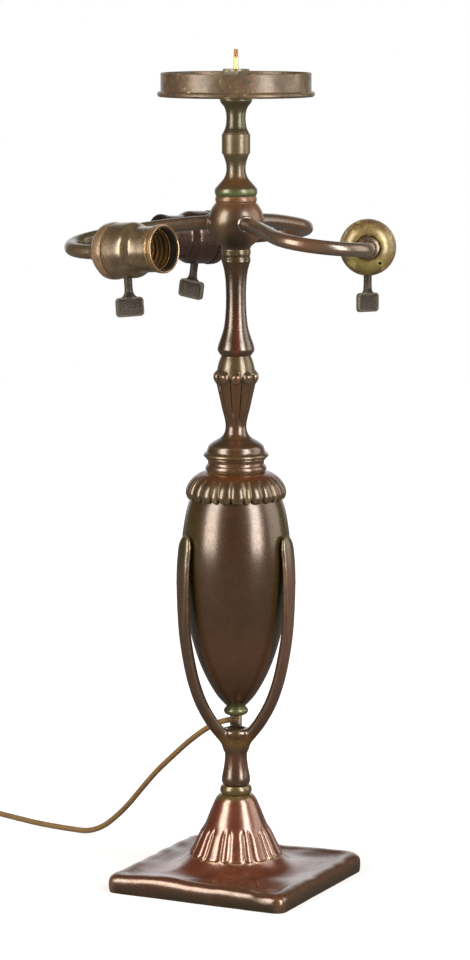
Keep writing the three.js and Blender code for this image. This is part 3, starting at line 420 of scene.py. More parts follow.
plug_start = tail_end + tail_way * 0.3
plug_lean = Vector((0, 0, 1)).rotation_difference(tail_way)
plug_turn = Matrix.Translation(plug_start) @ plug_lean.to_matrix().to_4x4()
neck = [(2.2, 0), (3.6, 0)]
for rib in range(4):
    neck += [(3.7 + rib * 0.25, 0.5 + rib * 1.4), (3.7 + rib * 0.25, 1.3 + rib * 1.4)]
    neck += [(3.2 + rib * 0.25, 1.5 + rib * 1.4), (3.2 + rib * 0.25, 1.8 + rib * 1.4)]
body_line = neck + [(4.8, 6.4), (7, 8), (10.5, 10.2), (12.5, 14), (12.5, 24.8), (11.5, 26), (2.2, 26)]
plug_shape = turned(rounded(body_line, 0.4), 64)
for dot in plug_shape.verts:
    dot.co.y *= 1 - 0.16 * ease(dot.co.z, 9, 14)
resin = moulded("brown_resin", plug_brown, 0.32)
plug = fit("plug_moulding", plug_shape, resin, "plug_plastic", "plug_body", stance=plug_turn)

brass, wire, point = new_material("plug_brass")
drawn = wire.node("Mapping", {}, {"Vector": point, "Scale": (90, 90, 1400)})
streak = clouds(drawn, 1, 2)
patch = between(clouds(point, 240, 5, 0.65, 0.6), 0.45, 0.72)
tone = mixed(between(streak, 0.5, 0.75) * 0.25, mixed(patch, blade_tone, blade_tarnish), blade_tarnish)
surfaced(wire, tone, 0.24 + patch * 0.25, metallic=1.0, height=streak * 0.5 + patch * 0.4, depth=0.00006)
for side, node in ((-1, "plug_blade_1"), (1, "plug_blade_2")):
    blade_shape = bmesh.new()
    spot = Vector((side * blade_offset, 0, blade_middle))
    size = Matrix.LocRotScale(spot, None, Vector(blade_size))
    bmesh.ops.create_cube(blade_shape, size=1, matrix=size)
    tips = [e for e in blade_shape.edges if min(v.co.z for v in e.verts) > 40]
    far_end = [e for e in tips if abs(e.verts[0].co.x - e.verts[1].co.x) > 1]
    bevelled(blade_shape, far_end, blade_round, 4)
    bevelled(blade_shape, blade_shape.edges[:], 0.2, 2)
    fit(node + "_brass", blade_shape, brass, "bright_brass", node, stance=plug_turn)
[c / 1000 for c in cord_line[0]]
[p / 1000 for p in cord_line[::2]] + [cord_line[-1] / 1000]

# Foot. One hollow casting of red-brown bronze: a square slab with a soft hand-worked rim, dished in the
# middle and drawn up into a bell with wide and narrow flutes. Its waxed skin is paler in the flutes and
# yellower at the neck.
foot_turn = radians(-26.07)
foot_half = 66.2
foot_corner = 7.0
flute_count = 11
flute_groove = 10.63
flute_turn = 2.5
flute_low = 20.5
flute_high = 41
crease_turn = -52.5
foot_outer = [
    (65.8, 0), (66.3, 3), (66.3, 8.4), (65.5, 11), (63.4, 12.9), (60, 13.5), (54.2, 12), (46, 10.6), (40, 12),
    (35.4, 15.4), (31.2, 20), (27.6, 26), (25, 31.5), (22.3, 37.2), (20.4, 42), (17.3, 50), (15.1, 55.2),
    (13.9, 58), (12.4, 60.2), (11, 61.4),
]
foot_inner = [
    (5.1, 61.4), (5.1, 56), (11, 56), (14.4, 46), (19.8, 29), (34, 7.4), (59.2, 7.4), (63.3, 2.1), (63.3, 0),
]


def linear(tone):
    """A colour from thousandths to the fractions that a shader takes."""
    return tuple(c / 1000 for c in tone)


def patina(
    name, ground, warm, dark, hollow, worn, tinted_zones=(), rough=0.33, metal=0.4, coat=0.5, mottle=0.45, pits=1.0
):
    """Old bronze under wax. Warm and dark clouds lie over the ground, green or gold in the hollows, bare
    metal on the worn edges. A tinted zone is its colour, its axis (3 is out from the middle), its middle
    and reach in mm, and its share; most are stains, a few are painted shade or painted highlight. All
    colours are in thousandths."""
    ground, warm, dark, hollow, worn = map(linear, (ground, warm, dark, hollow, worn))
    made, wire, point = new_material(name)
    where = [wire.node("SeparateXYZ", {}, {0: point}, axis) * 1000 for axis in range(3)]
    flat = wire.node("VectorMath", {"operation": "MULTIPLY"}, {0: point, 1: (1000, 1000, 0)})
    where.append(wire.node("VectorMath", {"operation": "LENGTH"}, {0: flat}, "Value"))
    edge = wire.node("NewGeometry", {}, {}, "Pointiness")
    broad = clouds(point, 26, 3, 0.5, 0.4)
    blotch = clouds(point, 115, 5, 0.6, 0.4)
    fleck = clouds(point, 420, 4, 0.66, 0.3)
    grain = clouds(point, 1300, 3, 0.6)
    spun = wire.node("Mapping", {}, {"Vector": point, "Scale": (20, 20, 900)})
    lathe = clouds(spun, 1, 3, 0.6)
    colour = mixed(between(broad, 0.36, 0.66) * mottle, ground, dark)
    colour = mixed(between(blotch, 0.4, 0.66) * mottle, colour, warm)
    shine = coat * (1.15 - between(fleck + grain, 0.8, 1.2) * 0.3)
    for tone, axis, middle, reach, share in tinted_zones:
        away = where[axis].maths("ABSOLUTE", where[axis] - middle)
        mask = between(away, reach, 0) * between(blotch + fleck * 0.4, 0.38, 0.64) * share
        colour = mixed(mask, colour, linear(tone))
        shine = shine * (1 - mask * 0.45)
    sunk = between(edge, 0.497, 0.478) * between(fleck + blotch, 0.7, 1.0)
    colour = mixed(sunk * 0.85, colour, hollow)
    rubbed = between(edge, 0.507, 0.54) * between(fleck + broad, 0.75, 1.1)
    colour = mixed(rubbed * 0.7, colour, worn)
    pit = between(fleck, 0.62, 0.71)
    colour = mixed(pit * (0.4 * pits), colour, tuple(c * 0.35 for c in dark))
    roughness = rough + (fleck - 0.5) * 0.15 + (broad - 0.5) * 0.2 + sunk * 0.15
    relief = blotch * 0.8 + fleck * 0.14 + grain * 0.03 + lathe * 0.08 - pit * (0.25 * pits)
    shine = shine * (1 - sunk * 0.6)
    surfaced(wire, colour, roughness, metallic=metal, coat=shine, height=relief,
             fixed={"Coat IOR": 1.85, "Coat Roughness": 0.24})
    return made


def squared(angle, corner):
    """How far a rounded square of half width 1 reaches in a direction."""
    turn = abs((angle + pi / 4) % (pi / 2) - pi / 4)
    if tan(turn) <= 1 - corner:
        return 1 / cos(turn)
    middle = (1 - corner) * (cos(turn) + sin(turn))
    return middle + sqrt(middle**2 - 2 * (1 - corner) ** 2 + corner**2)


def lobed(angle, count, groove, wide_flat=0.0):
    """1 on the middle of a wide or a narrow lobe and 0 in the grooves between them, in degrees."""
    period = 360 / count
    turn = abs((angle + period / 2) % period - period / 2)
    if turn < groove:
        share = max(turn / groove - wide_flat, 0) / (1 - wide_flat)
    else:
        share = (period / 2 - turn) / (period / 2 - groove)
    return sqrt(max(1 - share * share, 0))


def reshape(shape, rule):
    """Moves the points of a turned shape: from radius, angle and height the rule gives radius and height."""
    for dot in shape.verts:
        angle = atan2(dot.co.y, dot.co.x)
        radius, height = rule(hypot(dot.co.x, dot.co.y), angle, dot.co.z)
        dot.co = heading(angle) * radius + Vector((0, 0, height))


def foot_form(radius, angle, height):
    """Flutes on the bell, then the square slab with its wandering rim and a crease at one corner."""
    lobe = lobed(degrees(angle) - flute_turn, flute_count, flute_groove, 0.25)
    low = flute_low + 3 * (1 - lobe)
    reach = ease(height, low - 1, low + 0.8) * (1 - ease(height, flute_high - 9 + 3 * lobe, flute_high + 1))
    if radius > 19.5:
        radius += (1.15 * lobe - 0.6 * (1 - lobe)) * reach
    square = ease(radius, 32, 58.2)
    wide = radius * (1 + square * (squared(angle, foot_corner / foot_half) - 1))
    side = heading(angle) * (wide * 0.001)
    wander = noise.noise(side * 21 + Vector((3.1, 0.4, 0)))
    ripple = noise.noise(side * 62 + Vector((0, 5.3, 1.7)))
    rim = ease(radius, 40, 59)
    shift = (wander * 2.3 + ripple * 0.9) * rim * ease(height, 2, 9)
    inward = (abs(wander) * 0.9 + abs(ripple) * 0.5) * rim
    crease = 1.4 * exp(-((degrees(angle) - crease_turn) / 3.2) ** 2) * rim * ease(height, 4, 10)
    return wide - inward, max(height + shift - crease - 0.5 * rim, 0)


foot_shape = turned(through(foot_outer, 7) + foot_inner, 320)
reshape(foot_shape, foot_form)
# The third tinted zone makes the slab darker and olive-brown low down: partly its colour, partly painted shade
# on its sides.
foot_bronze = patina(
    "foot_bronze", (150, 34, 10), (210, 55, 17), (70, 24, 10), (240, 150, 70), (340, 190, 110),
    tinted_zones=[((84, 42, 19), 3, 76, 42, 0.7), ((130, 88, 26), 2, 61.5, 5, 1.0),
            ((50, 33, 19), 2, 2, 11, 1.0)], rough=0.27, coat=1.0
)
fit("cast_foot", foot_shape, foot_bronze, "red_bronze", "foot", stance=Matrix.Rotation(foot_turn, 4, "Z"))

# Felt, nut, washer and rod under the foot. The felt is glued into the hollow of the casting; the steel
# parts clamp the stem to it. They are seen from below only.
def dress(material, *names):
    """Gives the material to solids that are shown as they are."""
    for name in names:
        nodes[name].data.materials.clear()
        nodes[name].data.materials.append(material)


felt, wire, point = new_material("green_felt")
fibres = clouds(point, 1300, 5, 0.75, 1.2)
felt_wear = clouds(point, 45, 4)
felt_tone = mixed(between(fibres, 0.35, 0.7), (0.012, 0.022, 0.012), (0.045, 0.075, 0.04))
felt_tone = mixed(between(felt_wear, 0.5, 0.75) * 0.5, felt_tone, (0.075, 0.08, 0.05))
surfaced(wire, felt_tone, 0.95, height=fibres, depth=0.0006, fixed={"Sheen Weight": 0.35})
dress(felt, "base_felt")

steel, wire, point = new_material("plain_steel")
rust = clouds(point, 300, 5, 0.65, 0.8)
spun = wire.node("Mapping", {}, {"Vector": point, "Scale": (60, 60, 1600)})
cut = clouds(spun, 1, 2)
rusted = between(rust, 0.52, 0.68)
steel_tone = mixed(rusted, (0.32, 0.31, 0.29), (0.12, 0.055, 0.025))
relief = cut * 0.5 + rust * 0.5
surfaced(wire, steel_tone, 0.35 + rusted * 0.35, metallic=0.9, height=relief, depth=0.0001)
dress(steel, "foot_washer", "foot_nut", "stem_rod", "centre_pipe")
dress(steel, "yoke_screw_1", "yoke_screw_2", "yoke_screw_3")

# Collar between the bell and the stem. A loose turned ring of bronze with a half-round edge, gone olive.
# The rod inside clamps it between the two castings.
collar_base = 61.5
bore = 5.1


def sleeve(outer, base, fillet=0.3, inside=bore):
    """The outline of a turned piece with a bore, lifted to where it sits."""
    loop = [Vector(p) for p in outer] + [Vector((inside, outer[-1][1])), Vector((inside, outer[0][1]))]
    return [p + Vector((0, base)) for p in rounded(loop, fillet)]


olive_bronze = patina(
    "olive_bronze", (120, 88, 30), (150, 88, 30), (55, 42, 16), (75, 80, 28), (420, 310, 160), rough=0.3
)
collar_line = through([(9.5, 0), (10.6, 1.5), (10.8, 3), (10.5, 4.6), (9.7, 6.2)], 5)
fit("stem_ring", turned(sleeve(collar_line, collar_base), 96), olive_bronze, "green_bronze", "stem_collar")

# Stem and fingers. One casting: a turned stem that parts softly into three fingers, joined at their roots
# by a web. They swing out round the urn and lie along it, flattened and wider towards their rounded tips.
stem_base = 67.8
urn_base = 123.8
urn_height = 157.0
finger_radius = 4.25
finger_start = 86.2
finger_reach = 89.4
web_radius = 7.3
web_thickness = 3.2
web_level = 36.4
skin_voxel = 0.0006
skin_passes = 40
urn_outer = [
    (7.6, 0), (12.4, 5.4), (19.2, 16.6), (25.5, 31), (31.2, 51), (35, 74), (37, 102), (35.6, 121),
    (31.4, 140.4), (26, 149.5), (12, 157),
]
urn_line = through(urn_outer, 8)


def urn_radius(height):
    """The urn's radius at a height above its base."""
    for a, b in zip(urn_line, urn_line[1:]):
        if a.y <= height <= b.y and b.y > a.y:
            return a.x + (b.x - a.x) * (height - a.y) / (b.y - a.y)
    return urn_line[-1].x


def finger_size(share, angle):
    """Half the finger's width and depth: stout at the root, then round, then flat to its domed tip."""
    flat = ease(share, 0.62, 0.9)
    root = 1 + 0.32 * (1 - ease(share, 0, 0.15))
    tip = min((1 - share) * finger_length / (finger_radius * 1.6), 1)
    tip = sqrt(max(1 - (1 - tip) ** 2, 0.0004))
    dish = 1 - 0.3 * flat * max(-sin(angle), 0) ** 6
    wide = finger_radius * root * (1 + 0.78 * flat) * tip
    return wide, finger_radius * root * (1 - 0.34 * flat) * tip * dish


finger_line = [(3.5, 25.5), (7, 31), (12, 36.8), (18.5, 44.8), (26.7, 58.4), (32.2, 72.2)]
for share in (0, 0.24, 0.47, 0.73, 1):
    rise = finger_start + finger_reach * share
    beside = urn_radius(rise + stem_base - urn_base)
    finger_line.append((beside + 2.9 + 7.8 * (1 - share) ** 1.35, rise))
finger_path = through(finger_line, 22)
finger_length = sum((b - a).length for a, b in zip(finger_path, finger_path[1:]))
palm_line = through([
    (8.5, 0), (9.7, 1.8), (9.9, 4), (9.4, 7), (8.6, 11), (7.9, 16), (7.6, 20.5), (7.6, 25), (7.8, 29.5),
    (8.2, 33), (8.3, 35.4), (7.6, 36.8), (6, 37.6), (3, 37.4), (0, 37.3),
], 6)
web_line = []
for step in range(24):
    angle = tau * step / 24
    web_line.append((web_radius + web_thickness * cos(angle), web_level + web_thickness * sin(angle)))
fingers = [turned([(0, 0), *palm_line], 96, closed=False), turned(web_line, 96)]
for turn in (90, 210, 330):
    out = heading(radians(turn))
    path = [out * p.x + Vector((0, 0, p.y)) for p in finger_path]
    fingers.append(bar(path, out.cross(Vector((0, 0, 1))), 32, finger_size))
# Of the tinted zones, the pale pink-brown one on the right finger and the pale one on the rear finger are
# painted highlights; the others are the casting's colours.
yoke_bronze = patina(
    "yoke_bronze", (70, 34, 14), (98, 44, 20), (46, 28, 12), (90, 70, 24), (360, 220, 110),
    tinted_zones=[((130, 72, 16), 2, 99, 8, 1.0), ((110, 40, 16), 2, 84, 12, 0.7),
            ((150, 75, 52), 0, 44, 24, 0.9), ((46, 48, 14), 2, 246, 34, 0.9), ((230, 180, 130), 1, 14, 10, 0.8)],
    rough=0.28, coat=0.85
)
raised = Matrix.Translation((0, 0, stem_base))
yoke = fit("yoke_fingers", joined(fingers), yoke_bronze, "brown_bronze", "yoke", sharp=180, stance=raised)
blended = yoke.modifiers.new("blended", "REMESH")
blended.mode = "VOXEL"
blended.voxel_size = skin_voxel
blended.use_smooth_shade = True
eased_skin = yoke.modifiers.new("eased", "SMOOTH")
eased_skin.factor = 0.5
eased_skin.iterations = skin_passes

# Urn. Spun from sheet bronze, egg shaped, with a dark brown patina that is redder towards its foot. A small
# turned bush, quite green, closes it below, and the cord comes out through a fibre bushing in the bush.
urn_bronze = patina(
    "urn_bronze", (60, 25, 9.5), (74, 30, 12), (46, 21, 8.5), (60, 50, 18), (200, 100, 50),
    tinted_zones=[((100, 46, 22), 2, 160, 36, 0.9), ((66, 50, 10), 0, -36, 18, 1.0),
            ((66, 50, 10), 0, 36, 18, 1.0), ((60, 80, 26), 2, 123, 5, 1.0)], rough=0.27, coat=0.6, mottle=0.7
)
wall = 2.2
urn_inner = [(max(p.x - wall, bore), min(max(p.y, wall), urn_height - wall)) for p in urn_line[::4]]
urn_loop = [(bore, 0), *urn_line, (bore, urn_height), *urn_inner[::-1]]
urn_shape = turned([(r, z + urn_base) for r, z in urn_loop], 128)
fit("urn_shell", urn_shape, urn_bronze, "brown_bronze", "urn_body")

bush_bronze = patina(
    "bush_verdigris", (85, 100, 34), (120, 105, 38), (36, 44, 18), (55, 85, 32), (300, 290, 130),
    rough=0.36, coat=0.4
)
bush_line = through([
    (5.7, -7.3), (7.5, -6.3), (8.3, -4.3), (7.6, -2.6), (6.5, -1.5), (6.8, -0.7), (7.3, -0.1),
], 5)
fit("green_bush", turned(sleeve(bush_line, urn_base, 0.2), 96), bush_bronze, "green_bronze", "urn_bush")
fibre = moulded("black_fibre", (0.016, 0.012, 0.01), 0.5)
dress(fibre, "cord_bushing")

# Petal collar. A cast cap over the urn's shoulder, with a ring of wide and narrow drooping petals. Gold
# lies between the petals, and its crown is rubbed to copper.
petal_top = 283.5
petal_turn = -80.6
petal_outer = through([
    (32.2, -18.3), (33.3, -17.2), (34, -14.4), (33.4, -11), (31.4, -7.2), (28.2, -3.7), (24.6, -1.3),
    (20.5, 0),
], 6)
petal_inner = [(bore, 0), (bore, -2.4), (15, -2.4), (24, -5), (30.4, -11), (31.4, -18.3)]


def petal(angle):
    """1 on the middle of a petal and 0 between two, through a narrow and two wide ones each 40 degrees."""
    turn = (angle - petal_turn) % 40
    for low, high in ((0, 9), (9, 24.5), (24.5, 40)):
        if low <= turn <= high:
            share = abs(turn - (low + high) / 2) / ((high - low) / 2)
            return sqrt(max(1 - share**2.2, 0))
    return 0


def petal_form(radius, angle, height):
    """Grooves between the petals, and scallops at their lower edge."""
    dip = 1 - petal(degrees(angle))
    low = radius - 1.9 * dip * ease(-height, 1.2, 6) * ease(radius, 22, 26)
    if height < -9:
        low = max(low, 31.2)
    return low, height + 3 * dip * ease(-height, 11, 18.3) + petal_top


petal_shape = turned(petal_outer + petal_inner, 360)
reshape(petal_shape, petal_form)
petal_bronze = patina(
    "petal_bronze", (72, 36, 14), (100, 46, 17), (36, 23, 10), (150, 112, 40), (400, 300, 160),
    tinted_zones=[((120, 40, 12), 2, 283, 6, 1.0), ((56, 46, 18), 2, 268, 7, 0.3)], rough=0.3, coat=0.6
)
fit("petal_cap", petal_shape, petal_bronze, "brown_bronze", "petal_collar", sharp=60)

# Ring collar on the petals. One turned ring of copper-coloured bronze: a round bead below and a hollow
# above it. It lies loose between the petals and the vase.
ring_collar_base = 283.6
ring_collar_line = through([(19.3, 0), (20, 0.5), (20.5, 1.7), (20.5, 3), (20, 4.2), (19.2, 4.9)], 4)
ring_collar_line += through([(19.1, 5.1), (18.9, 6.2), (19, 7.2), (19.5, 8.1), (20.1, 8.6), (20.1, 9.5)], 4)
copper_bronze = patina(
    "copper_bronze", (92, 44, 20), (130, 58, 26), (42, 24, 12), (150, 120, 30), (420, 270, 160),
    tinted_zones=[((190, 150, 30), 2, 283, 2, 1.0)], rough=0.26, coat=0.65
)
collar_shape = turned(sleeve(ring_collar_line, ring_collar_base, 0.2), 128)
fit("collar_rings", collar_shape, copper_bronze, "copper_bronze", "ring_collar")

# Vase of the column. One casting: a flange and dome, a thin neck, and a cup whose sides carry ten tall
# rounded leaves, each with a knob at its tip.
vase_base = 293.2
vase_turn = -90
leaf_span = 36
leaf_top = 57.5
knob_level = 54.6
vase_line = through([(20.9, 0), (22, 1.2), (21.6, 2.4), (20.6, 3.4)], 4)[:-1]
vase_line += through([(20.2, 3.6), (19.6, 4.6), (18.6, 7.6), (16, 10), (13.3, 11.6), (10.8, 13)], 4)
vase_line += through([
    (9.4, 14.2), (8, 16.5), (7.1, 19.8), (7.4, 25.5), (8.7, 33), (10.4, 41), (12, 48), (12.9, 53),
    (13.1, 56.4), (12.9, 58.6), (12.5, 60.7), (11.9, 63.4), (11, 66), (10.3, 67.7), (9.9, 68.7),
], 6)


def vase_form(radius, angle, height):
    """Leaves on the cup, with grooves between them and a knob at each tip."""
    turn = (degrees(angle) - vase_turn + leaf_span / 2) % leaf_span - leaf_span / 2
    leaf = sqrt(max(1 - (turn * 2 / leaf_span) ** 2, 0))
    knob = sqrt(max(1 - (turn / 14.5) ** 2 - ((height - knob_level) / 4.3) ** 2, 0))
    top = leaf_top - 4 * (1 - leaf)
    reach = ease(height, 19 + 4 * (1 - leaf), 36) * (1 - ease(height, top - 2, top + 0.6))
    if radius > bore + 0.5:
        radius += (1.1 * leaf - 0.8 * (1 - leaf)) * reach + 1.6 * knob
    return radius, height + vase_base


vase_shape = turned(sleeve(vase_line, 0), 240)
reshape(vase_shape, vase_form)
vase_bronze = patina(
    "vase_bronze", (66, 34, 14), (90, 42, 17), (38, 23, 10), (75, 52, 16), (380, 240, 140),
    tinted_zones=[((120, 36, 12), 0, 0, 3, 0.7), ((100, 72, 24), 2, 294, 4, 0.8),
            ((105, 74, 32), 2, 357, 9, 1.0), ((105, 50, 20), 2, 332, 16, 0.8)], rough=0.28, coat=0.65
)
fit("leaf_vase", vase_shape, vase_bronze, "brown_bronze", "vase_column")

# Taper of the column. One turned piece: a bead, a slender neck that is redder in a narrow strip in front and
# behind, and two rings under the ball.
taper_base = 362.0
taper_line = through([
    (10.1, 0), (11.2, 1.4), (12.3, 3.4), (12.4, 5.2), (11.5, 8.4), (9.5, 14.2), (8.2, 19), (7.3, 26),
    (6.8, 36), (6.8, 43), (7.15, 50.6), (8, 57), (9.3, 62.2),
], 6)
taper_line += [(9.75, 63), (9.8, 64.6), (9.6, 65.9), (8.9, 66.7), (9.7, 67.3), (9.9, 69.4), (9.7, 71.3)]
taper_bronze = patina(
    "taper_bronze", (58, 28, 13), (78, 36, 16), (38, 22, 11), (75, 62, 22), (380, 250, 140),
    tinted_zones=[((140, 28, 9), 0, 0.5, 3, 0.9), ((56, 40, 15), 2, 431, 16, 1.0),
            ((50, 28, 12), 2, 408, 30, 1.0)], rough=0.26, coat=0.75
)
fit("column_taper", turned(sleeve(taper_line, taper_base), 96), taper_bronze, "red_bronze", "taper_column")

# Ball. A cast hollow ball that the three arms screw into, with a ring on top. Its skin is dark and finely
# pitted.
ball_base = 433.4
ball_line = [(9.4, 0)]
for step in range(25):
    angle = radians(-57 + (44.6 + 57) * step / 24)
    ball_line.append((18.8 * cos(angle), 17.7 + 18.8 * sin(angle)))
ball_line += [(13.6, 31.5), (13.9, 32.3), (13.9, 34), (13.4, 35.2)]
# Of the ball's tinted zones, the dark band low down is painted shade under the ball, and the orange patch on its
# right and the paler one left of middle are painted highlights; the copper on the ring is its colour.
ball_bronze = patina(
    "ball_bronze", (72, 35, 16), (100, 47, 20), (42, 23, 12), (100, 80, 26), (340, 240, 130),
    tinted_zones=[((150, 62, 22), 2, 466, 9, 1.0), ((34, 23, 11), 2, 438, 10, 1.0),
            ((170, 80, 38), 0, 14, 9, 1.0), ((150, 95, 45), 0, -10, 6, 0.7)], rough=0.38, coat=0.6, pits=1.6
)
fit("arm_ball", turned(sleeve(ball_line, ball_base), 128), ball_bronze, "brown_bronze", "cluster_body")

# Arms. Bronze tubes, bent to the left in one even curve so that each mouth points back along the circle.
# Each is screwed into the ball, and a thin rim covers the hole.
arm_level = 451.1
bend_radius = 31.5
arm_radius = 4.7
arm_start = 9.5
arm_rim = 17.4
hub_reach = 8
tube_tail = 5.2
socket_reach = 16.4
arms = {
    "right": dict(turn=-69, straight=70, bend=157, drop=13.4, level=5, tilt=-2, roll=0, key=-45),
    "left": dict(turn=-188, straight=73.7, bend=151, drop=16.3, level=5, tilt=4.5, roll=0, key=55),
    "back": dict(turn=54, straight=72.5, bend=160, drop=17.6, level=20, tilt=2.5, roll=-9, key=-63),
}
arm_bronze = patina(
    "arm_bronze", (90, 56, 32), (125, 66, 32), (50, 34, 20), (80, 66, 32), (340, 250, 170),
    tinted_zones=[((95, 74, 34), 0, -90, 40, 0.7), ((150, 60, 24), 0, 42, 20, 0.7)], rough=0.28, coat=0.9
)
sockets = {}
for side, arm in arms.items():
    bend = radians(arm["bend"])
    tilt = radians(arm["tilt"])
    end = arm["straight"] + bend_radius * bend

    def on_arm(run):
        """Where the tube's middle is after so many millimetres: straight, round the bend, and slowly down."""
        curve = min(max((run - arm["straight"]) / bend_radius, 0), bend)
        drop = arm["drop"] * ease(run, arm["level"], end)
        x = min(run, arm["straight"]) + bend_radius * sin(curve)
        return Vector((x, bend_radius * (1 - cos(curve)), -drop))

    axis = Vector((cos(bend) * cos(tilt), sin(bend) * cos(tilt), sin(tilt)))
    hub = on_arm(end) + axis * hub_reach
    runs = [arm_start + (end - arm_start) * i / 40 for i in range(41)]
    path = through([on_arm(run) for run in runs] + [hub, hub + axis * tube_tail], 3)
    around = Matrix.Translation((0, 0, arm_level)) @ Matrix.Rotation(radians(arm["turn"]), 4, "Z")

    tube = bar(path, (0, 0, 1), 40, lambda share, angle: (arm_radius, arm_radius))
    rim = turned(rounded([(4.2, 0), (5.9, 0), (5.9, 0.9), (5.1, 1.9), (4.2, 1.9)], 0.3), 48)
    rim_way = (on_arm(20) - on_arm(17)).normalized()
    rim_turn = Matrix.Translation(on_arm(arm_rim)) @ rim_way.to_track_quat("Z", "Y").to_matrix().to_4x4()
    bmesh.ops.transform(rim, matrix=rim_turn, verts=rim.verts)
    fit(side + "_arm_tube", joined([tube, rim]), arm_bronze, "brown_bronze", "arm_" + side, stance=around)
    mouth_way = (around.to_3x3() @ axis).normalized()
    up = (Vector((0, 0, 1)) - mouth_way * mouth_way.z).normalized()
    facing = Matrix((up.cross(mouth_way), up, mouth_way)).transposed()
    facing = facing @ Matrix.Rotation(radians(arm["roll"]), 3, "Z")
    sockets[side] = Matrix.Translation(around @ (hub + axis * socket_reach)) @ facing.to_4x4()

# Sockets. Each has a stepped ferrule on the arm's end, a spun brass cap and a shell that ends in a rolled
# bead, tarnished in clouds of brown, olive and yellow. Inside are a black fibre liner, the threaded shell
# for the bulb and a porcelain body.
cap_line = [
    (7.9, -12.4), (8.6, -13), (9.6, -13), (12.4, -12), (15, -10.2), (16.6, -8.3), (16.7, -7.2),
    (17.4, -7.1), (18.1, -6.5), (18.5, -5.2), (18.7, -3.6), (18.72, -0.9), (18.4, -0.2), (17.45, -0.2),
    (16.4, -5.5), (12, -9.4), (7.9, -10.9),
]
ferrule_line = [
    (4.9, -20.2), (5.7, -20.2), (6.1, -19.8), (6.1, -16.9), (7.2, -16.6), (7.55, -16.2), (7.55, -11.4),
    (4.9, -11.4),
]
shell_line = [(17.95, 0.2), (18.15, 0.7)]
shell_line += through([(18.2, 1.4), (18.22, 8), (18.2, 13.6), (17.9, 15.8), (17, 17.8)], 4)
shell_line += through([(15.9, 19.2), (15.1, 20.8), (14.85, 23.5), (14.8, 29), (14.8, 33.2)], 4)
shell_line += [(15.15, 33.4), (15.15, 34.2), (14.3, 34.2), (14.2, 20.2), (17, 16), (17.5, 14.6), (17.5, 0.2)]
lip_line = [
    (14.35, 34.25), (15.3, 34.25), (15.5, 34.6), (15.5, 35.3), (15.2, 35.7), (15.6, 36.1), (15.85, 37),
    (15.85, 38), (15.5, 38.8), (15, 39), (14.6, 38.8), (14.35, 38.3),
]


def tarnished(name, ground, warm, dark, gold, bare, metal=0.5, rough=0.34, mottle=0.5, coat=0.5):
    """Sheet brass long handled: clouds of brown and olive, with yellow specks where the metal shows through.
    Its colours are in thousandths."""
    ground, warm, dark, gold, bare = map(linear, (ground, warm, dark, gold, bare))
    made, wire, point = new_material(name)
    edge = wire.node("NewGeometry", {}, {}, "Pointiness")
    broad = clouds(point, 48, 4, 0.55, 0.5)
    blotch = clouds(point, 150, 5, 0.6, 0.5)
    fleck = clouds(point, 460, 4, 0.66, 0.4)
    grain = clouds(point, 1500, 3, 0.6)
    colour = mixed(between(broad, 0.38, 0.62), ground, warm)
    colour = mixed(between(blotch, 0.46, 0.66) * mottle, colour, dark)
    colour = mixed(between(blotch, 0.46, 0.34) * mottle, colour, gold)
    speck = between(fleck, 0.6, 0.7) * between(broad, 0.47, 0.62)
    colour = mixed(speck * mottle * 1.2, colour, bare)
    colour = mixed(between(edge, 0.508, 0.55) * 0.6, colour, bare)
    # Painted shade: the hollows are darkened nearly to black.
    colour = mixed(between(edge, 0.492, 0.46) * 0.8, colour, tuple(c * 0.4 for c in dark))
    roughness = rough + (blotch - 0.5) * 0.3 + (fleck - 0.5) * 0.25
    relief = blotch * 0.6 + fleck * 0.25 + broad * 0.3 + grain * 0.05
    surfaced(wire, colour, roughness, metallic=metal, coat=coat * (1 - speck), height=relief,
             fixed={"Coat IOR": 1.7, "Coat Roughness": 0.24})
    return made


def drilled(piece, radius, sides, spot):
    """Cuts a round hole, 8 mm deep about the spot, out of the piece for good."""
    tool = bmesh.new()
    bmesh.ops.create_cone(
        tool, cap_ends=True, segments=sides, radius1=radius, radius2=radius, depth=8, matrix=spot
    )
    drill = place("drill", tool, piece.data.materials[0])
    knife = piece.modifiers.new("hole", "BOOLEAN")
    knife.operation = "DIFFERENCE"
    knife.solver = "EXACT"
    knife.object = drill
    seen = piece.evaluated_get(bpy.context.evaluated_depsgraph_get())
    mesh = bpy.data.meshes.new_from_object(seen)
    piece.modifiers.clear()
    piece.data = mesh
    mesh.set_sharp_from_angle(angle=radians(35))
    bpy.data.objects.remove(drill)


shell_finish = {
    "left": tarnished(
        "shell_brass", (125, 83, 43), (175, 122, 65), (50, 33, 18), (220, 145, 48), (700, 480, 120),
        rough=0.26, coat=0.8
    ),
    "back": tarnished(
        "shell_umber", (60, 26, 18), (72, 36, 24), (34, 18, 12), (66, 40, 24), (100, 70, 45), mottle=0.3,
        rough=0.26
    ),
}
shell_finish["right"] = shell_finish["left"]
cap_finish = {
    "left": tarnished(
        "cap_copper", (270, 165, 100), (330, 205, 125), (110, 70, 44), (300, 215, 120), (520, 380, 200),
        rough=0.28, coat=0.7
    ),
    "right": tarnished(
        "cap_olive", (165, 120, 32), (165, 90, 46), (78, 52, 18), (300, 235, 58), (500, 440, 150),
        metal=0.35, rough=0.36, mottle=1.0
    ),
    "back": shell_finish["back"],
}
lip_finish = dict(shell_finish, left=tarnished(
    "lip_brass", (320, 180, 85), (400, 250, 130), (110, 62, 26), (460, 270, 75), (600, 420, 160),
    metal=0.75, rough=0.24, mottle=0.3
))
thread_brass, wire, point = new_material("thread_brass")
edge = wire.node("NewGeometry", {}, {}, "Pointiness")
film = clouds(point, 110, 4, 0.6)
tone = mixed(between(film, 0.4, 0.65), (0.16, 0.085, 0.018), (0.055, 0.028, 0.008))
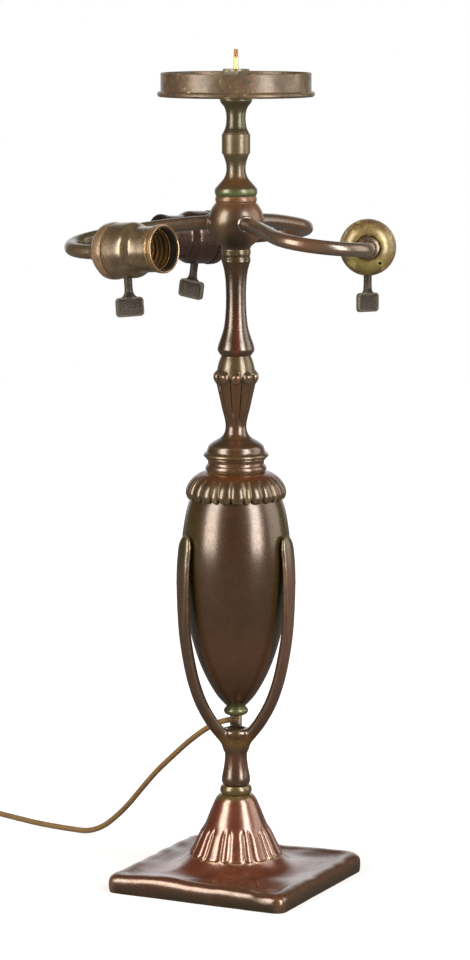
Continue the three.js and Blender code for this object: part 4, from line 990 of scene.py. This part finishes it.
tone = mixed(between(edge, 0.503, 0.53) * 0.8, tone, (0.42, 0.26, 0.08))
# Painted shade: the thread's grooves are darkened nearly to black.
tone = mixed(between(edge, 0.497, 0.47) * 0.8, tone, (0.025, 0.012, 0.005))
surfaced(wire, tone, 0.42 + (film - 0.5) * 0.3, metallic=0.6, height=film, depth=0.0001)
porcelain, wire, point = new_material("white_porcelain")
soot = clouds(point, 180, 5, 0.6)
smoked = between(soot, 0.45, 0.7)
tone = mixed(smoked * 0.6, (0.62, 0.58, 0.5), (0.25, 0.2, 0.14))
surfaced(wire, tone, 0.4 + smoked * 0.3, height=soot, depth=0.0001)
key_level = 7
thread_low = 17.9
thread_height = 15.3
thread_pitch = 3.63
thread_depth = 0.34
liner_line = [(14, 20.6), (14, 38.4), (13.5, 38.4), (13.5, 20.6)]
holes = {
    "socket_cap": (1.05, 24, Matrix.Translation((-7.9, -10.1, -11))),
    "socket_shell": (3.1, 40, Matrix.Translation((0, -18, key_level)) @ Matrix.Rotation(radians(90), 4, "X")),
}


def thread_form(radius, angle, height):
    """A rolled thread that fades out at the mouth."""
    held = 1 - ease(height, 32, 33.2)
    return radius + thread_depth * cos(tau * height / thread_pitch - angle) * held - 0.1, height


for side, stance in sockets.items():
    for part, line, fillet, finish, node, slot in (
        ("socket_cap", cap_line, 0.2, cap_finish[side], "cap", "socket_brass"),
        ("ferrule", ferrule_line, 0.25, arm_bronze, None, "socket_brass"),
        ("socket_shell", shell_line, 0.2, shell_finish[side], "shell", "socket_brass"),
        ("rolled_lip", lip_line, 0.2, lip_finish[side], None, "socket_brass"),
        ("fibre_liner", liner_line, 0.15, fibre, "liner", "fibre"),
    ):
        spun_shape = turned(rounded(line, fillet), 96)
        solids = [f"{side}_{node}"] if node else []
        piece = fit(f"{side}_{part}", spun_shape, finish, slot, *solids, stance=stance)
        if part in holes:
            radius, sides, spot = holes[part]
            drilled(piece, radius, sides, stance @ spot)
    rows = [thread_low + thread_height * i / 60 for i in range(61)]
    screw_shell = turned([(13.1, z) for z in rows] + [(12.7, z) for z in rows[::-1]], 96)
    reshape(screw_shell, thread_form)
    solid = side + "_screw_shell"
    fit(side + "_bulb_thread", screw_shell, thread_brass, "bright_brass", solid, sharp=70, stance=stance)
    dress(porcelain, side + "_socket_body")
    dress(thread_brass, side + "_contact")
    dress(fibre, side + "_rotor")

# Keys. Cast of blackened iron: a round stem that flares into a flat paddle with rounded corners and a plain
# sunk panel on each side. Each turns the switch inside its socket.
iron, wire, point = new_material("blackened_iron")
edge = wire.node("NewGeometry", {}, {}, "Pointiness")
cast = clouds(point, 700, 5, 0.7, 0.4)
cloud = clouds(point, 130, 4, 0.6)
tone = mixed(between(cloud, 0.4, 0.64), (0.024, 0.017, 0.012), (0.044, 0.034, 0.023))
tone = mixed(between(cast, 0.53, 0.68) * 0.6, tone, (0.09, 0.076, 0.05))
tone = mixed(between(edge, 0.505, 0.55) * 0.5, tone, (0.18, 0.16, 0.13))
# Painted shade: the hollows are darkened nearly to black.
tone = mixed(between(edge, 0.49, 0.46) * 0.8, tone, (0.012, 0.01, 0.008))
surfaced(wire, tone, 0.42 + (cast - 0.5) * 0.5, metallic=0.4, height=cast + cloud * 0.4, depth=0.0004)
paddle_size = (3, 18.6, 12.6)
paddle_middle = 36.75
paddle_corner = 2.6
panel_rim = 1.5
panel_depth = 0.45
for side, stance in sockets.items():
    turn = Matrix.Rotation(radians(arms[side]["key"]), 4, "Y")
    hang = Matrix(((1, 0, 0, 0), (0, 0, -1, 0), (0, 1, 0, 0), (0, 0, 0, 1)))
    key_place = stance @ Matrix.Translation((0, 0, key_level)) @ turn @ hang
    stem_line = [(0, 11.9), (2.6, 11.9)]
    stem_line += through([(2.75, 19), (2.7, 24), (2.9, 26.8), (3.7, 28.8), (5.2, 30.2), (7, 31)], 4)
    stem_line += [(7, 32.4), (0, 32.4)]
    key_stem = turned(rounded(stem_line, 0.2, closed=False), 40, closed=False)
    for dot in key_stem.verts:
        dot.co.x *= 1 - 0.77 * ease(dot.co.z, 26, 31)
    paddle = bmesh.new()
    size = Matrix.LocRotScale(Vector((0, 0, paddle_middle)), None, Vector(paddle_size))
    bmesh.ops.create_cube(paddle, size=1, matrix=size)
    corners = [e for e in paddle.edges if abs(e.verts[0].co.x - e.verts[1].co.x) > 1]
    bevelled(paddle, corners, paddle_corner, 6)
    sides = [f for f in paddle.faces if abs(f.normal.x) > 0.9]
    bmesh.ops.inset_individual(paddle, faces=sides, thickness=panel_rim, depth=0)
    sides = [f for f in paddle.faces if abs(f.normal.x) > 0.9 and len(f.verts) > 8]
    bmesh.ops.inset_individual(paddle, faces=sides, thickness=0.35, depth=-panel_depth)
    paddle.normal_update()
    bends = [e for e in paddle.edges if e.is_manifold and e.calc_face_angle(0) > 0.6]
    bevelled(paddle, bends, 0.3, 2)
    solid, body = side + "_key", side + "_switch"
    key_shape = joined([key_stem, paddle])
    fit(side + "_turn_key", key_shape, iron, "key_iron", solid, body=body, stance=key_place)

# Risers. Two turned balusters with a plain coupling between them carry the shade ring. They are the
# greenest pieces of the lamp.
green_bronze = patina(
    "green_bronze", (74, 56, 24), (95, 56, 22), (44, 36, 16), (66, 74, 26), (360, 300, 180),
    tinted_zones=[((72, 72, 25), 2, 520, 10, 0.7), ((62, 50, 24), 2, 533, 5, 0.9),
            ((85, 110, 38), 2, 471, 4, 1.0), ((120, 52, 16), 2, 479, 6, 0.8)], rough=0.34, coat=0.45
)
coupling_bronze = patina(
    "coupling_bronze", (105, 78, 40), (125, 86, 42), (65, 50, 26), (60, 60, 28), (340, 260, 160),
    rough=0.4, coat=0.3
)
lower_line = through([
    (13.3, 0), (14.1, 1.6), (14.3, 3.3), (13.9, 4.8), (12.8, 6.3), (10.7, 8.7), (8.3, 11.5), (6.9, 14.6),
    (6.45, 18.5), (7, 22.6), (8, 25.6), (8.6, 27.4),
], 5)
upper_line = through([
    (8.8, 0), (8.2, 1.4), (7.3, 3.3), (6.6, 6.8), (6.45, 10), (6.8, 14), (7.9, 17.3), (10, 20), (10.8, 22),
    (10.4, 24),
], 5)
coupling_line = [(8.75, 0), (9.4, 0.5), (9.5, 1.2), (9.5, 7), (9.5, 12.8), (9.35, 13.5), (8.95, 14)]
for name, node, line, base, finish, slot in (
    ("lower_baluster", "lower_riser", lower_line, 468.7, green_bronze, "green_bronze"),
    ("plain_coupling", "riser_coupling", coupling_line, 496.2, coupling_bronze, "brown_bronze"),
    ("upper_baluster", "upper_riser", upper_line, 510.3, green_bronze, "green_bronze"),
):
    fit(name, turned(sleeve(line, base), 96), finish, slot, node)

# Shade ring. A shallow brass hoop with a rolled lower edge, held by three flat spokes on a hub. A hexagon
# nut clamps it, and the bright end of the lamp's rod stands above the nut for a finial.
ring_base = 534.4
spoke_half_width = 4
spoke_half_thickness = 1.1
ring_brass = tarnished(
    "ring_brass", (92, 63, 37), (130, 75, 42), (54, 40, 23), (130, 112, 45), (480, 460, 200), metal=0.3,
    rough=0.42, mottle=0.8, coat=0.3
)
band_line = [
    (50.1, 0), (51.2, 0), (52, 0.5), (52.4, 1.3), (52.4, 2.1), (52, 2.9), (51.2, 3.4), (50.4, 3.6),
    (50.1, 4.2), (50.1, 15.4), (49.8, 15.8), (49.1, 15.8), (48.8, 15.4), (48.8, 0.3),
]
parts = [
    turned([(r, z + ring_base) for r, z in rounded(band_line, 0.2)], 160),
    turned(sleeve([(8.4, 0), (8.3, 0.8), (7.6, 2), (7.6, 14.6)], ring_base, 0.3, 3.5), 64),
]


def spoke_size(share, angle):
    """A flat strap with soft corners."""
    corner = (abs(cos(angle)) ** 6 + abs(sin(angle)) ** 6) ** (-1 / 6)
    return spoke_half_width * corner, spoke_half_thickness * corner


for turn in (30, 150, 270):
    out = heading(radians(turn))
    marks = ((6.5, 12.9), (12, 12.7), (22, 10.8), (36, 7), (46, 4.9), (49.4, 4.7))
    path = through([out * r + Vector((0, 0, z + ring_base)) for r, z in marks], 6)
    parts.append(bar(path, out.cross(Vector((0, 0, 1))), 32, spoke_size))
fit("shade_hoop", joined(parts), ring_brass, "ring_brass", "shade_ring")

nut_flat = 8.8
nut_top = 552.7
nut_line = [(1.8, 549.1), (9.8, 549.1), (10, 549.4), (10, 551.2), (nut_flat, nut_top), (1.8, nut_top)]
nut_shape = turned(rounded(nut_line, 0.2), 96)
reshape(nut_shape, lambda radius, angle, height: (
    min(radius, nut_flat / cos((angle + pi / 6) % (pi / 3) - pi / 6)), height
))
nut_bronze = patina(
    "nut_bronze", (60, 42, 22), (85, 55, 28), (28, 24, 14), (60, 62, 28), (300, 240, 140), rough=0.42,
    coat=0.3
)
fit("hexagon_nut", nut_shape, nut_bronze, "ring_brass", "ring_nut", sharp=25)

stud_radius = 1.62
stud_pitch = 0.9
stud_top = 565.7
stud_thread_start = 560.5
rows = [nut_top + 12.6 * i / 150 for i in range(151)]
stud_line = [(0, nut_top)] + [(stud_radius, z) for z in rows] + [(1.2, stud_top), (0, stud_top)]
stud_shape = turned(stud_line, 32, closed=False)


def stud_form(radius, angle, height):
    """A fine thread on the stud's upper half."""
    if radius > 1.5:
        cut = 0.5 + 0.5 * cos(tau * height / stud_pitch - angle)
        radius -= 0.08 + 0.2 * cut * ease(height, stud_thread_start, stud_thread_start + 0.5)
    return radius, height


reshape(stud_shape, stud_form)
stud_brass, wire, point = new_material("stud_brass")
height = wire.node("SeparateXYZ", {}, {0: point}, 2)
film = clouds(point, 500, 3, 0.6)
tone = mixed(between(film, 0.4, 0.7) * 0.3, (0.88, 0.66, 0.28), (0.7, 0.46, 0.16))
tone = mixed(between(height, 0.5595, 0.5605) * 0.9, tone, (0.5, 0.25, 0.1))
surfaced(wire, tone, 0.3 + (film - 0.5) * 0.2, metallic=0.85, height=film, depth=0.00003)
fit("finial_screw", stud_shape, stud_brass, "bright_brass", "finial_stud", sharp=80)

# Studio. A pale table runs back into white. Two tall soft boxes stand left and right of the camera, and a
# dim one fills in from the right.
table = bmesh.new()
bmesh.ops.create_grid(table, x_segments=1, y_segments=1, size=3000)
paper, wire, place_on_table = new_material("pale_table")
path_of_light = wire.node("LightPath", {}, {}, "Is Camera Ray")
glossy = wire.node("LightPath", {}, {}, "Is Glossy Ray")
clear = wire.node("LightPath", {}, {}, "Is Transmission Ray")
paper_tone = wire.node("BsdfDiffuse", {}, {"Color": mixed(glossy, (0.32, 0.32, 0.32), (0.06, 0.055, 0.05))})
far = between(wire.node("VectorMath", {"operation": "LENGTH"}, {0: place_on_table}, "Value"), 0.08, 0.34)
shown = path_of_light.maths("MINIMUM", path_of_light + glossy * 0.1 + clear, 1)
paper_glow = wire.node("Emission", {}, {"Color": (1, 1, 1), "Strength": shown * (0.7 + far * 0.3)})
whole = wire.node("AddShader", {}, {0: paper_tone, 1: paper_glow})
wire.node("OutputMaterial", {}, {"Surface": whole})
floor = place("table_top", table, paper)

world = bpy.data.worlds.new("white_room")
scene.world = world
world.use_nodes = True
world.node_tree.nodes.clear()
wire = Wire(world.node_tree)
camera_ray = wire.node("LightPath", {}, {}, "Is Camera Ray")
glossy = wire.node("LightPath", {}, {}, "Is Glossy Ray")
clear = wire.node("LightPath", {}, {}, "Is Transmission Ray")
way = wire.node("TexCoord", {}, {}, "Generated")
behind = between(wire.node("SeparateXYZ", {}, {0: way}, 1), 0.72, 0.98)
white = camera_ray + clear + glossy * behind
plain = (1 - camera_ray - clear - glossy) * 0.3 + glossy * (1 - behind) * 0.05
level = white + plain
back = wire.node("Background", {}, {"Color": (1, 1, 1), "Strength": level})
wire.node("OutputWorld", {}, {"Surface": back})


def soft_box(name, spot, size, radiance, tone):
    """A flat lamp that faces the column."""
    light = bpy.data.lights.new(name, "AREA")
    light.shape = "RECTANGLE"
    light.size, light.size_y = size
    light.energy = radiance * pi * size[0] * size[1]
    light.color = tone
    lamp = bpy.data.objects.new(name, light)
    lamp.location = spot
    lamp.rotation_euler = (Vector((0, 0, spot[2] * 0.85)) - Vector(spot)).to_track_quat("-Z", "Y").to_euler()
    scene.collection.objects.link(lamp)


soft_box("left_box", (-1.06, -0.7, 0.86), (0.66, 1.4), 9.0, (1.0, 0.91, 0.79))
soft_box("right_box", (0.9, -0.88, 0.86), (0.5, 1.4), 11.0, (1.0, 0.93, 0.84))
soft_box("right_fill", (1.32, 0.12, 0.8), (0.9, 1.3), 2.2, (1.0, 0.92, 0.82))
